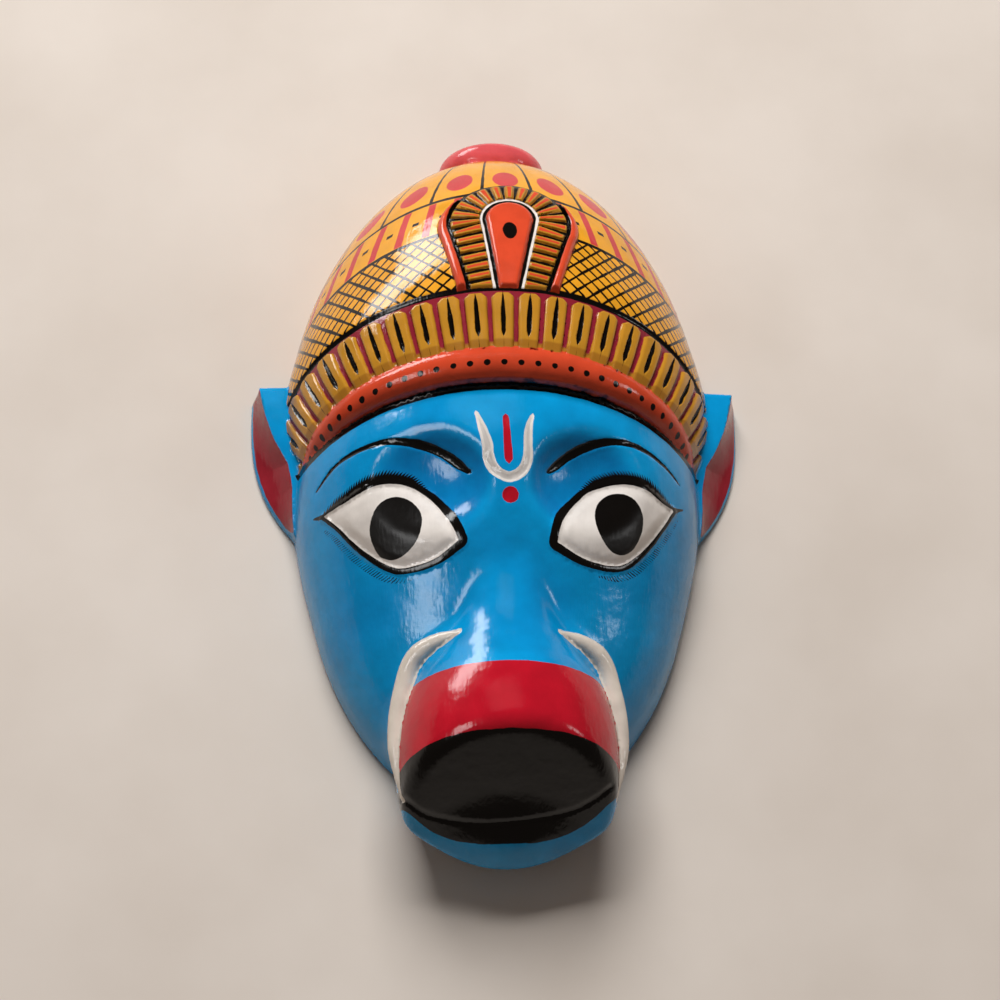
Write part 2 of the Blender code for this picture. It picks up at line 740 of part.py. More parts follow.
def make_brows(collection):
    """Raised, tapered brow line over each eye."""
    steps = 12
    points = []
    radii = []
    along = Vector((math.cos(BROW_SLANT), math.sin(BROW_SLANT)))
    across = Vector((-along.y, along.x))
    for step in range(steps + 1):
        share = step / steps
        place = Vector((BROW_X, BROW_Y)) + along * BROW_HALF_LENGTH * (2.0 * share - 1.0)
        place += across * BROW_ARCH * math.sin(math.pi * share)
        points.append(surface_point(*place))
        swell = math.sin(math.pi * share)
        radii.append(BROW_TIP_RADIUS + (BROW_RADIUS - BROW_TIP_RADIUS) * swell)
    return mirror_across(tube_object("brows", points, radii, 6, False, collection))


def make_mouth(collection):
    """Cutter for the mouth groove across the snout face."""
    steps = 18
    outward = Vector((0.0, -math.sin(SNOUT_FACE_ANGLE), math.cos(SNOUT_FACE_ANGLE)))
    down = Vector((0.0, -math.cos(SNOUT_FACE_ANGLE), -math.sin(SNOUT_FACE_ANGLE)))
    centre = Vector((0.0, SNOUT_FACE_Y, SNOUT_FACE_HEIGHT))
    points = []
    for step in range(steps + 1):
        share = 2.0 * step / steps - 1.0
        place = centre + Vector((1.0, 0.0, 0.0)) * MOUTH_HALF_WIDTH * share
        place += down * (MOUTH_DROP - MOUTH_CURL * share * share)
        start = np.array([place - outward * 0.03])
        reach = march(start, np.array([outward]))[0]
        points.append(Vector(start[0]) + outward * reach)
    return tube_object("mouth", points, [MOUTH_RADIUS] * len(points), 6, False, collection)


def make_floor_cutter(collection):
    """Block that cuts everything below the floor."""
    bm = bmesh.new()
    bmesh.ops.create_cube(bm, size=1.0)
    depth = 0.05
    bmesh.ops.scale(bm, vec=(0.4, 0.5, depth), verts=bm.verts)
    bmesh.ops.translate(bm, vec=(0.0, 0.0, -depth / 2.0), verts=bm.verts)
    return finish_bmesh(bm, "floor_cutter", collection)


def combine(target, tool, operation):
    """Add an exact Boolean and keep its tool as a hidden guide."""
    modifier = target.modifiers.new(tool.name, "BOOLEAN")
    modifier.operation = operation
    modifier.object = tool
    modifier.solver = "EXACT"
    tool.hide_render = True
    tool.display_type = "WIRE"


def painted_wood():
    """Glossy painted wood."""
    material = bpy.data.materials.new("painted_wood")
    material.use_nodes = True
    shader = material.node_tree.nodes["Principled BSDF"]
    shader.inputs["Base Color"].default_value = WOOD_COLOUR
    shader.inputs["Roughness"].default_value = WOOD_ROUGHNESS
    shader.inputs["Metallic"].default_value = 0.0
    return material


def centre_footprint(mask, collection):
    """Shift the mask and its guides so the origin is in the middle of its footprint."""
    bpy.context.view_layer.update()
    graph = bpy.context.evaluated_depsgraph_get()
    mesh = bpy.data.meshes.new_from_object(mask.evaluated_get(graph))
    ys = [vertex.co.y for vertex in mesh.vertices]
    middle = (max(ys) + min(ys)) / 2.0
    bpy.data.meshes.remove(mesh)
    for obj in [mask] + list(collection.objects):
        obj.location.y = -middle


def main():
    """Build the mask."""
    clear_scene()
    parts = make_collection("wooden_deity_mask")
    guides = make_collection("guides")
    mask = add_object("mask", skin_mesh("mask", head_form, 0.0, 1.0, HEAD_COLUMNS, SKIRT), parts)
    mask.data.materials.append(painted_wood())
    combine(mask, make_flutes(guides), "UNION")
    combine(mask, make_slits(guides), "DIFFERENCE")
    makers = (make_ears, make_knob, make_roll, make_crest_border, make_crest_ribs, make_drop,
              make_eyes, make_lids, make_brows, make_tusks)
    for maker in makers:
        combine(mask, maker(guides), "UNION")
    combine(mask, make_mouth(guides), "DIFFERENCE")
    inside = skin_mesh("hollow", hollow_form, WALL, HOLLOW_ROW_SHARE, HOLLOW_COLUMNS, 2 * SKIRT)
    hollow = add_object("hollow", inside, guides)
    combine(mask, hollow, "DIFFERENCE")
    combine(mask, make_floor_cutter(guides), "DIFFERENCE")
    centre_footprint(mask, guides)


main()
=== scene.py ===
"""Looks of a wooden boar-faced deity mask: its carving, its enamel paint, a pale floor and soft light.

The mask lies on its back. +Z comes out of the face, +Y points to the crown, +X to the viewer's right.
The carved block repeats the solid's own form, a set of eggs and rods blended together, and adds the
low relief that only shows close up. All lengths are metres, except where a name ends in _MM or _mm.
"""

import math
from functools import partial

import bpy
import numpy as np
from bpy.props import FloatProperty, FloatVectorProperty, IntProperty, PointerProperty
from mathutils import Matrix, Vector


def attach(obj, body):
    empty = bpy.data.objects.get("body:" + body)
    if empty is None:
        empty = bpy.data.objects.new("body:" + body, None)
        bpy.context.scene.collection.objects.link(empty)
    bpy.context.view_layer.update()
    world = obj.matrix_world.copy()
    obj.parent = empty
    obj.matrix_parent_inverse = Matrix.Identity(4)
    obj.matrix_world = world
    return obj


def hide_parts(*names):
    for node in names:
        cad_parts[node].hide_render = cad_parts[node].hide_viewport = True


bl_info = {
    "name": "Painted Boar Mask",
    "version": (1, 0, 0),
    "blender": (4, 5, 0),
    "location": "View3D > Sidebar > Mask",
    "description": "Carves and paints a wooden boar-faced mask on a pale floor",
    "category": "Object",
}

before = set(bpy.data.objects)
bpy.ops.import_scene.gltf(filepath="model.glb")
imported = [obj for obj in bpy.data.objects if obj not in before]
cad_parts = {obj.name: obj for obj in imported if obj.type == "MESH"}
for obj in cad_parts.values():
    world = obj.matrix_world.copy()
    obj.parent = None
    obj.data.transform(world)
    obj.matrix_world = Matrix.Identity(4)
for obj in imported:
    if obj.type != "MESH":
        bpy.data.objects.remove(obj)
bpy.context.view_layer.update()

MM = 0.001
PIECE = "carved_mask"

# The solid's origin is in the middle of its footprint, this far from the origin of the forms below.
FOOTPRINT_SHIFT = 0.000745

# Crown egg, with its widest line at CROWN_Y.
CROWN_Y = 0.033
CROWN_HALF_WIDTH = 0.0928
CROWN_RISE = 0.1270
CROWN_DROP = 0.075
CROWN_DEPTH = 0.086
CROWN_TAPER = 0.075

# Lines across the crown lie in planes that lean back, as (foot, lean): y = foot + lean * z.
BAND_EDGE = (-0.005, 0.28)
FLUTE_LOW = (-0.003, 0.405)
FLUTE_TOP = (0.0240, 0.410)
WEAVE_TOP = (0.053, 0.51)
BARS_TOP = (0.073, 0.63)

# Face, forehead, nose, snout and chin.
FACE_CENTRE = (0.0, -0.020, 0.0)
FACE_HALF = (0.0838, 0.1245, 0.066)
FOREHEAD_CENTRE = (0.0, -0.002, 0.0)
FOREHEAD_HALF = (0.083, 0.075, 0.081)
RIDGE_TOP = (0.0, -0.030, 0.050)
RIDGE_FOOT = (0.0, -0.085, 0.050)
RIDGE_TOP_RADIUS = 0.016
RIDGE_FOOT_RADIUS = 0.021
SNOUT_Y = -0.130
SNOUT_HEIGHT = 0.038
SNOUT_HALF_WIDTH = 0.0448
SNOUT_HALF_LENGTH = 0.060
SNOUT_DEPTH = 0.048
SNOUT_UNDERSIDE = 0.018
SNOUT_FACE_Y = -0.1425
SNOUT_FACE_HEIGHT = 0.0605
SNOUT_FACE_ANGLE = math.radians(58)
SNOUT_FACE_EDGE = 0.005
CHIN_CENTRE = (0.0, -0.120, 0.022)
CHIN_HALF = (0.0452, 0.048, 0.030)
FACE_BLEND = 0.022
NOSE_BLEND = 0.0035
SNOUT_BLEND = 0.010
CHIN_BLEND = 0.008

# Eye sockets, given for the +X side.
SOCKET_CENTRE = (0.047, -0.026, 0.088)
SOCKET_HALF = (0.042, 0.031, 0.027)
SOCKET_BLEND = 0.0045

# Hollow back and its rim.
WALL = 0.013
RIM_ROUNDING = 0.0012

# Seam between the headband and the forehead, filled with black.
SEAM_WIDTH = 0.0030

# Headband roll.
ROLL_RADIUS = 0.0078
ROLL_END_RADIUS = 0.0030
ROLL_SINK = 0.0048

# Knob at the top of the crown.
KNOB_Y = 0.1545
KNOB_RADIUS = 0.0245
KNOB_LENGTH = 0.0130
KNOB_ROUNDING = 0.0060
KNOB_NECK_RADIUS = 0.0180

# Ears.
EAR_TOP_Y = 0.0430
EAR_LENGTH = 0.070
EAR_REACH = 0.1080
EAR_RIDGE_HEIGHT = 0.019
EAR_RIDGE_FALL = 0.45
EAR_RIDGE_TOP_SHARE = 0.75
EAR_RIDGE_LOW_SHARE = 0.0
EAR_RIDGE_LOW_AT = 0.66
EAR_ROOT_HEIGHT = 0.021
EAR_RIM_THICKNESS = 0.0035
EAR_SCOOP = 0.0025
EAR_ROUNDING = 0.0022

# Tusks.
TUSK_ROOT_Y = -0.1460
TUSK_TIP_Y = -0.0830
TUSK_ROOT_ANGLE = math.radians(11)
TUSK_TIP_ANGLE = math.radians(51)
TUSK_SWEEP = 6.0
TUSK_CROWDING = 1.6
TUSK_SINK = -0.0028
TUSK_ROOT_SINK = 0.0012
TUSK_TIP_SINK = 0.0004
TUSK_STATIONS = (0.0, 0.20, 0.45, 0.80, 0.93, 1.0)
TUSK_RADII = (0.0010, 0.0035, 0.0045, 0.0041, 0.0028, 0.0008)
TUSK_STEPS = 24
TUSK_ROOT_MARGIN = 0.004

# Row of tongues over the headband: the middle one's angle and how the angles grow along the row,
# at the tongues' feet and at their tips, in degrees.
TONGUE_MIDDLE = 91.4
TONGUE_FOOT_STEP = 6.56
TONGUE_TIP_STEP = 7.72
TONGUE_SPREAD = 0.0048
TONGUE_PITCH = 0.0106
TONGUE_LENGTH = 0.0250
SLIT_FOOT = 0.11
SLIT_TOP = 0.88

# Crest ornament, in the plan of the mask.
CREST_Y = 0.0960
CREST_FOOT_Y = 0.0572
CREST_LEAN = 0.045
RIB_MIDDLE_INSETS = (0.0062, 0.0062, 0.0046)

# Outlines in the plan of the mask, in millimetres. Left means the viewer's left.
LEFT_EYE_TOP_MM = ((-74.8, -25.6), (-64.5, -23.6), (-55.0, -20.7), (-46.8, -19.7), (-38.5, -21.7),
                   (-31.1, -27.2), (-25.0, -36.0), (-20.1, -46.4))
LEFT_EYE_FOOT_MM = ((-20.1, -46.4), (-28.4, -52.0), (-38.0, -54.4), (-45.7, -53.7), (-54.0, -48.2),
                    (-61.5, -41.0), (-69.1, -31.8), (-74.8, -25.6))
RIGHT_EYE_TOP_MM = ((70.9, -23.5), (65.5, -23.0), (58.1, -20.3), (47.7, -18.8), (38.5, -20.6),
                    (30.2, -25.6), (22.0, -37.2), (19.3, -47.0))
RIGHT_EYE_FOOT_MM = ((19.3, -47.0), (30.3, -52.0), (41.5, -53.1), (49.1, -50.6), (57.9, -42.3),
                     (64.9, -33.0), (70.9, -23.5))
LEFT_LASH_TIP_MM = (-79.3, -24.0)
RIGHT_LASH_TIP_MM = (76.2, -20.4)
LEFT_BROW_MM = ((-78.0, -13.5), (-68.9, -5.9), (-55.0, -3.0), (-40.0, -4.3), (-27.0, -9.0), (-15.6, -18.0))
RIGHT_BROW_MM = ((74.5, -11.0), (66.0, -6.0), (54.3, -2.6), (40.0, -3.3), (26.8, -8.5), (16.0, -17.6))
MARK_MM = ((-13.3, 4.5), (-10.8, -3.0), (-9.1, -8.9), (-8.6, -14.0), (-6.8, -18.8), (-3.7, -21.8),
           (-0.2, -23.1), (3.5, -21.6), (6.1, -18.5), (7.4, -13.8), (7.4, -8.3), (7.8, -2.4), (9.4, 3.3))
MARK_STROKE_MM = ((-1.5, 2.5), (-0.5, -16.1))
MARK_DOT_MM = (0.2, -30.0)
MARK_DOT_RADIUS = 0.0034
MARK_DOT_SQUASH = 1.05
MOUTH_MM = ((-41.8, -146.7), (-34.4, -151.3), (-24.3, -153.6), (-10.8, -155.2), (6.0, -154.3),
            (22.8, -151.3), (32.5, -147.7), (39.3, -143.6))

# Swell of an eye, in the plan of the mask, for the +X side: its middle and its half sizes.
EYE_MIDDLE = (0.0453, -0.0370)
EYE_HALF = (0.030, 0.0190)

# Pupils: x and y of the middle, half sizes, narrowing downwards, and lean in degrees.
PUPILS = ((-45.2, -38.2, 10.4, 12.7, 0.04, 3.0), (45.4, -35.9, 10.2, 13.0, 0.13, 5.0))

# Lashes: how far they reach round an eye, as shares of its outline, and how long they are there.
UPPER_LASH = ((0.0, 0.04, 0.10, 0.26, 0.38, 1.0), (0.35, 0.75, 1.0, 0.95, 0.0, 0.0))
UPPER_LASH_LENGTH = 0.0060
LOWER_LASH = ((0.0, 0.62, 0.70, 0.80, 0.94, 1.0), (0.0, 0.0, 1.0, 1.0, 0.6, 0.0))
LOWER_LASH_LENGTH = 0.0012
LOWER_LASH_GAP = 0.0022
EYE_ROUND = 0.140
LASH_PITCH_MM = 0.55
LASH_DEPTH = 3.6
LASH_HALF_MM = 0.16

# Painted patterns of the crown. Turns are in degrees over the front, from the viewer's right.
DEGREE_MM = 1.53
TOP_NARROWING = 0.72
BAR_NARROWING = 0.85
OVAL_PERIOD = 19.2
OVAL_START = 88.0
OVAL_HEIGHT = 13.5
OVAL_RADIUS = 6.0
OVAL_SQUASH = 0.78
UPRIGHT_HALF_MM = 0.68
BAR_PERIOD = 9.25
BAR_START = 60.0
BAR_HALF_MM = 1.75
BAR_MARGIN_MM = 1.2
DASH_HALF_MM = (1.45, 1.9)
NET_PERIOD = 7.3
NET_START = 1.0
NET_LEAN = 1.1
NET_HALF_MM = 0.50
NET_NARROWING = 0.62
CROWN_LINES_MM = (("bars", 0.90), ("weave", 1.0))
TIER_LINE_HALF_MM = 0.95

# Painted patterns of the row of tongues and of the headband.
TONGUE_PAINT_MM = 4.35
TONGUE_TIP_MM = 22.6
TONGUE_SHOULDER = 0.55
TONGUE_SHADE_MM = 1.5
SLIT_HALF_MM = 1.0
SLIT_TAPER = 4.5
SLIT_END_MM = 8.0
DOT_PERIOD = 4.5
DOT_DROP_MM = 2.6
DOT_SQUASH = 1.4
DOT_RADIUS_MM = 1.30
BAND_SPILL_MM = 0.35
BAND_GAP_MM = -0.4

# Painted patterns of the crest.
RIBS = 27
RIB_ROUND_MM = 118.0
RIB_HALF_MM = 1.60
HEART_INSET_MM = 1.10
HEART_END_MM = 0.9
CREST_LINE_HALF_MM = 0.75
CREST_LINE_REACH_MM = 1.1
RING_MIDDLE_MM = 2.0
RING_HALF_MM = 0.52
RING_REACH_MM = 2.5
DROP_DOT = (0.0019, 0.0893, 0.0)
DROP_DOT_RADIUS = 0.0030
DROP_DOT_SHAPE = (1.0, 0.62, 0.0)

# Paint edges of the snout: two planes (foot, lean), the lowest y of the red, and the lower edge of the
# black, y = foot + rise * (|x| / half)**bend.
SNOUT_RED_EDGE = (-0.1065, 0.085)
SNOUT_BLACK_EDGE = (-0.1495, 0.26)
SNOUT_RED_FOOT = -0.1450
BLACK_FOOT = -0.1621
BLACK_RISE = 0.0124
BLACK_HALF = 0.040
BLACK_BEND = 2.6

# Camera: where it looks, how far away it is and how it leans, from the photograph's perspective.
CAMERA_TARGET = (-0.0024, -0.0227, 0.055)
CAMERA_DISTANCE = 0.8539
CAMERA_TILT = math.radians(22)
CAMERA_SIDE = math.radians(4)
CAMERA_ROLL = math.radians(-1)
CAMERA_VIEW = math.radians(27)

# Each light: name, place, the point it faces, its width and height, and whether it is one of the windows
# mirrored in the enamel. The key lights the mask without showing in it, as light off a far ceiling does.
WINDOWS = (
    ("key", (-0.24, 1.26, 1.72), (0.0, 0.0, 0.03), (1.2, 1.0), False),
    ("window", (-1.13, 1.60, 0.48), (0.0, 0.0, 0.05), (1.15, 0.56), True),
    ("side", (-1.18, -0.46, 1.32), (0.0, 0.0, 0.05), (0.90, 0.44), True),
    ("fill", (1.75, -0.18, 0.95), (0.0, 0.0, 0.05), (0.40, 0.35), True),
)


def linear(code):
    """Scene-linear colour of an sRGB hex code."""
    parts = [int(code[index:index + 2], 16) / 255.0 for index in (1, 3, 5)]
    return tuple(c / 12.92 if c <= 0.04045 else ((c + 0.055) / 1.055) ** 2.4 for c in parts)


def egg(points, centre, half):
    """Distance to an ellipsoid, good near its surface."""
    scaled = (points - np.array(centre)) / half
    reach = np.linalg.norm(scaled, axis=-1)
    slope = np.linalg.norm(scaled / half, axis=-1)
    return reach * (reach - 1.0) / np.maximum(slope, 1e-6)


def taper(points, start, end, start_radius, end_radius):
    """Distance to a rod with round ends whose radius changes along it."""
    start = np.array(start)
    axis = np.array(end) - start
    along = np.clip((points - start) @ axis / (axis @ axis), 0.0, 1.0)
    gap = np.linalg.norm(points - start - along[..., None] * axis, axis=-1)
    return gap - (start_radius + (end_radius - start_radius) * along)


def join_soft(first, second, blend):
    """Union of two distances with a fillet."""
    share = np.clip(0.5 + 0.5 * (second - first) / blend, 0.0, 1.0)
    return second + (first - second) * share - blend * share * (1.0 - share)


def cut_soft(first, second, blend):
    """Intersection of two distances with a rounded edge."""
    return -join_soft(-first, -second, blend)


def mirrored(points):
    """Fold the points on to the +X side."""
    return np.stack([np.abs(points[..., 0]), points[..., 1], points[..., 2]], axis=-1)


def above(points, plane):
    """Distance above a leaning plane, positive towards the crown."""
    foot, lean = plane
    return (points[..., 1] - foot - lean * points[..., 2]) / math.hypot(1.0, lean)


def smooth(low, high, value):
    """Soft step from 0 at low to 1 at high."""
    share = np.clip((value - low) / (high - low), 0.0, 1.0)
    return share * share * (3.0 - 2.0 * share)


def dome(inside, width):
    """Quarter-round edge: 0 at the outline, 1 at a width inside it."""
    share = 1.0 - np.clip(inside / width, 0.0, 1.0)
    return np.sqrt(1.0 - share * share)


def curve_through(places, steps=10):
    """Smooth open path through a few places."""
    places = np.array(places, float)
    padded = np.vstack([2 * places[0] - places[1], places, 2 * places[-1] - places[-2]])
    shares = np.arange(steps) / steps
    path = []
    for before, here, after, beyond in zip(padded, padded[1:], padded[2:], padded[3:]):
        for t in shares:
            bend = 2 * here + (after - before) * t
            bend = bend + (2 * before - 5 * here + 4 * after - beyond) * t**2
            bend = bend + (3 * here - before - 3 * after + beyond) * t**3
            path.append(bend / 2)
    path.append(places[-1])
    return np.array(path)


def path_reach(places, path):
    """Distance from a path, share of it at the nearest point, side of it, and how far past its ends."""
    lengths = np.linalg.norm(np.diff(path, axis=0), axis=1)
    travel = np.concatenate([[0.0], np.cumsum(lengths)])
    gap = np.full(len(places), 1.0)
    share = np.zeros(len(places))
    side = np.zeros(len(places))
    past = np.zeros(len(places))
    for index, length in enumerate(lengths):
        x = places[:, 0] - path[index, 0]
        y = places[:, 1] - path[index, 1]
        turn_x, turn_y = (path[index + 1] - path[index]) / length
        whole = x * turn_x + y * turn_y
        along = np.minimum(np.maximum(whole, 0.0), length)
        reach = (x - along * turn_x) ** 2 + (y - along * turn_y) ** 2
        nearer = reach < gap
        gap[nearer] = reach[nearer]
        share[nearer] = travel[index] + along[nearer]
        side[nearer] = (x * turn_y - y * turn_x)[nearer]
        past[nearer] = np.abs(whole - along)[nearer] if index in (0, len(lengths) - 1) else 0.0
    return np.sqrt(gap), share / travel[-1], side, past


def within(places, path):
    """Whether each place lies inside a closed path."""
    inside = np.zeros(len(places), bool)
    x, y = places[:, 0], places[:, 1]
    for (x1, y1), (x2, y2) in zip(path, np.roll(path, -1, axis=0)):
        if y1 == y2:
            continue
        crosses = (y1 > y) != (y2 > y)
        inside ^= crosses & (x < (x2 - x1) * (y - y1) / (y2 - y1) + x1)
    return inside


def crown_egg(points):
    """Distance to the egg of the crown, which narrows a little towards its top."""
    drop = np.where(points[..., 1] > CROWN_Y, CROWN_RISE, CROWN_DROP)
    taper_share = np.clip((points[..., 1] - CROWN_Y) / CROWN_RISE, 0.0, 1.0)
    width = CROWN_HALF_WIDTH * (1.0 - CROWN_TAPER * taper_share)
    half = np.stack([width, drop, np.full_like(drop, CROWN_DEPTH)], axis=-1)
    return egg(points, (0.0, CROWN_Y, 0.0), half)


def face_egg(points):
    """Distance to the long egg of the face."""
    return egg(points, FACE_CENTRE, FACE_HALF)


def snout_form(points):
    """The snout with its end cut flat."""
    depth = np.where(points[..., 2] > SNOUT_HEIGHT, SNOUT_DEPTH, SNOUT_UNDERSIDE)
    width = np.full_like(depth, SNOUT_HALF_WIDTH)
    length = np.full_like(depth, SNOUT_HALF_LENGTH)
    body = egg(points, (0.0, SNOUT_Y, SNOUT_HEIGHT), np.stack([width, length, depth], axis=-1))
    outward = np.array([0.0, -math.sin(SNOUT_FACE_ANGLE), math.cos(SNOUT_FACE_ANGLE)])
    face = (points - np.array([0.0, SNOUT_FACE_Y, SNOUT_FACE_HEIGHT])) @ outward
    return cut_soft(body, face, SNOUT_FACE_EDGE)


def face_form(points):
    """Forehead, cheeks, nose, snout, chin and eye sockets."""
    face = join_soft(face_egg(points), egg(points, FOREHEAD_CENTRE, FOREHEAD_HALF), FACE_BLEND)
    face = cut_soft(face, -egg(mirrored(points), SOCKET_CENTRE, SOCKET_HALF), SOCKET_BLEND)
    ridge = taper(points, RIDGE_TOP, RIDGE_FOOT, RIDGE_TOP_RADIUS, RIDGE_FOOT_RADIUS)
    face = join_soft(face, ridge, NOSE_BLEND)
    face = join_soft(face, snout_form(points), SNOUT_BLEND)
    return join_soft(face, egg(points, CHIN_CENTRE, CHIN_HALF), CHIN_BLEND)


def hollow_form(points):
    """Plain form that the hollowed back follows, one wall inside it."""
    inside = join_soft(face_egg(points), crown_egg(points), FACE_BLEND)
    return join_soft(inside, snout_form(points), FACE_BLEND)


def march(start, direction, form):
    """Distance along each ray at which it leaves a form."""
    near = np.zeros(len(start))
    far = np.full(len(start), 0.160)
    for _ in range(34):
        middle = (near + far) / 2.0
        inside = form(start + direction * middle[:, None]) < 0.0
        near = np.where(inside, middle, near)
        far = np.where(inside, far, middle)
    return near


def slope_of(form, points, value=None, step=0.0002):
    """Gradient of a form at points where its value may already be known."""
    here = form(points) if value is None else value
    return np.stack([form(points + step * axis) - here for axis in np.eye(3)], axis=-1) / step


def roll_path():
    """Centre line and radius of the headband roll, by angle over the front of the crown."""
    angles = np.linspace(0.0, math.pi, 181)
    foot = (BAND_EDGE[0] + FLUTE_LOW[0]) / 2.0
    lean = (BAND_EDGE[1] + FLUTE_LOW[1]) / 2.0
    rays = np.stack([np.cos(angles), lean * np.sin(angles), np.sin(angles)], axis=-1)
    rays /= np.linalg.norm(rays, axis=1)[:, None]
    start = np.tile([0.0, foot, 0.0], (len(angles), 1))
    points = start + rays * march(start, rays, crown_egg)[:, None]
    outward = slope_of(crown_egg, points)
    outward /= np.linalg.norm(outward, axis=1)[:, None]
    radii = ROLL_END_RADIUS + (ROLL_RADIUS - ROLL_END_RADIUS) * np.sin(angles)
    return angles, points - outward * (ROLL_SINK * radii / ROLL_RADIUS)[:, None], radii


ROLL_ANGLES, ROLL_POINTS, ROLL_RADII = roll_path()


def on_roll(angle):
    """Points of the roll's centre line."""
    return np.stack([np.interp(angle, ROLL_ANGLES, line) for line in ROLL_POINTS.T], axis=-1)


def roll_form(points):
    """The headband roll along the lower edge of the crown."""
    angle = np.arctan2(np.maximum(points[:, 2], 0.0), points[:, 0])
    step = 0.02
    for _ in range(3):
        along = (on_roll(angle + step) - on_roll(angle - step)) / (2.0 * step)
        ahead = np.sum((points - on_roll(angle)) * along, axis=1)
        angle = np.clip(angle + ahead / np.maximum(np.sum(along * along, axis=1), 1e-9), 0.0, math.pi)
    return np.linalg.norm(points - on_roll(angle), axis=1) - np.interp(angle, ROLL_ANGLES, ROLL_RADII)


def tusk_path():
    """Centre line and radius of the +X tusk, from its root up to its tip."""
    share = np.linspace(0.0, 1.0, TUSK_STEPS + 1)
    angle = TUSK_ROOT_ANGLE + (TUSK_TIP_ANGLE - TUSK_ROOT_ANGLE) * share**TUSK_SWEEP
    travel = 1.0 - (1.0 - share) ** TUSK_CROWDING
    start = np.stack([0.0 * share, TUSK_ROOT_Y + (TUSK_TIP_Y - TUSK_ROOT_Y) * travel,
                      np.full_like(share, SNOUT_HEIGHT)], axis=-1)
    rays = np.stack([np.cos(angle), 0.0 * angle, np.sin(angle)], axis=-1)
    sink = TUSK_SINK + (TUSK_ROOT_SINK - TUSK_SINK) * (1.0 - share) ** 2
    sink += (TUSK_TIP_SINK - TUSK_SINK) * share**6
    points = start + rays * (march(start, rays, face_form) - sink)[:, None]
    return points, np.interp(share, TUSK_STATIONS, TUSK_RADII), angle


TUSK_POINTS, TUSK_WIDTHS, TUSK_ANGLES = tusk_path()


def tusk_form(points):
    """Both tusks, tapered crescents that hug the snout."""
    folded = mirrored(points)
    form = np.full(len(points), 1.0)
    for index in range(TUSK_STEPS):
        ends = slice(index, index + 2)
        rod = taper(folded, *TUSK_POINTS[ends], *TUSK_WIDTHS[ends])
        form = np.minimum(form, rod)
    return form


def knob_form(points):
    """Turned knob on the top of the crown, its axis along the mask."""
    radius = np.hypot(points[:, 0], points[:, 2])
    middle = KNOB_Y + KNOB_LENGTH / 2.0
    across = np.stack([radius - (KNOB_RADIUS - KNOB_ROUNDING),
                       np.abs(points[:, 1] - middle) - (KNOB_LENGTH / 2.0 - KNOB_ROUNDING)], axis=-1)
    disc = np.linalg.norm(np.maximum(across, 0.0), axis=1) + np.minimum(across.max(axis=1), 0.0)
    disc -= KNOB_ROUNDING
    neck = np.maximum(radius - KNOB_NECK_RADIUS, np.abs(points[:, 1] - KNOB_Y) - 0.010)
    return join_soft(disc, neck, 0.002)


EAR_SHARES = np.linspace(0.0, 1.0, 15)


def ear_sides():
    """How far out the head reaches at the height of each step of an ear."""
    y = EAR_TOP_Y - EAR_LENGTH * EAR_SHARES
    start = np.stack([0.0 * y, y, 0.0 * y], axis=-1)
    rays = np.tile([1.0, 0.0, 0.0], (len(y), 1))
    return march(start, rays, lambda points: np.minimum(face_form(points), crown_egg(points)))


EAR_SIDES = ear_sides()


def ear_lines(points):
    """Head side, ridge and outer edge of an ear at points, with its falling height."""
    share = np.clip((EAR_TOP_Y - points[:, 1]) / EAR_LENGTH, 0.0, 1.0)
    side = np.interp(share, EAR_SHARES, EAR_SIDES)
    swell = 1.0 - share**3
    outer = FACE_HALF[0] + (EAR_REACH - FACE_HALF[0]) * swell
    inward = np.minimum(share / EAR_RIDGE_LOW_AT, 1.0)
    ridge_share = EAR_RIDGE_TOP_SHARE + (EAR_RIDGE_LOW_SHARE - EAR_RIDGE_TOP_SHARE) * inward
    ridge = side + (outer - side) * ridge_share
    height = EAR_RIDGE_HEIGHT * (1.0 - EAR_RIDGE_FALL * share**3)
    return side, ridge, outer, height, swell


def ear_form(points):
    """Both ears: wedges cut flat on top, with a ridge and a scooped outer side."""
    folded = mirrored(points)
    side, ridge, outer, height, swell = ear_lines(folded)
    x = folded[:, 0]
    lift = EAR_ROOT_HEIGHT * height / EAR_RIDGE_HEIGHT
    inner_slope = (height - lift) / np.maximum(ridge - (side - 0.014), 0.004)
    inner = lift + (x - side + 0.014) * inner_slope
    span = np.maximum(outer - ridge, 0.002)
    across = np.clip((x - ridge) / span, 0.0, 1.0)
    outer_side = height + (EAR_RIM_THICKNESS - height) * across
    outer_side = outer_side - 4.0 * EAR_SCOOP * swell * across * (1.0 - across)
    top = np.where(x < ridge, inner, outer_side)
    steep = np.where(x < ridge, inner_slope, (height - EAR_RIM_THICKNESS) / span)
    ear = (folded[:, 2] - top) / np.hypot(1.0, steep)
    ear = cut_soft(ear, x - outer, EAR_ROUNDING)
    ear = cut_soft(ear, folded[:, 1] - EAR_TOP_Y, EAR_ROUNDING)
    return np.maximum(ear, (EAR_TOP_Y - EAR_LENGTH) - folded[:, 1])


def tongue_count(points):
    """Where points lie on the row of tongues: the count along it from the middle, and the share up it."""
    z = np.maximum(points[:, 2], 0.0)
    low = points[:, 1] - FLUTE_LOW[0] - FLUTE_LOW[1] * z
    share = low / (FLUTE_TOP[0] - FLUTE_LOW[0] + (FLUTE_TOP[1] - FLUTE_LOW[1]) * z)
    step = TONGUE_FOOT_STEP + (TONGUE_TIP_STEP - TONGUE_FOOT_STEP) * np.clip(share, -0.2, 1.2)
    turn = np.degrees(np.arctan2(z, points[:, 0])) - TONGUE_MIDDLE
    count = turn / step
    for _ in range(4):
        slope = step + 3 * TONGUE_SPREAD * count**2
        count = count - (step * count + TONGUE_SPREAD * count**3 - turn) / slope
    return count, share


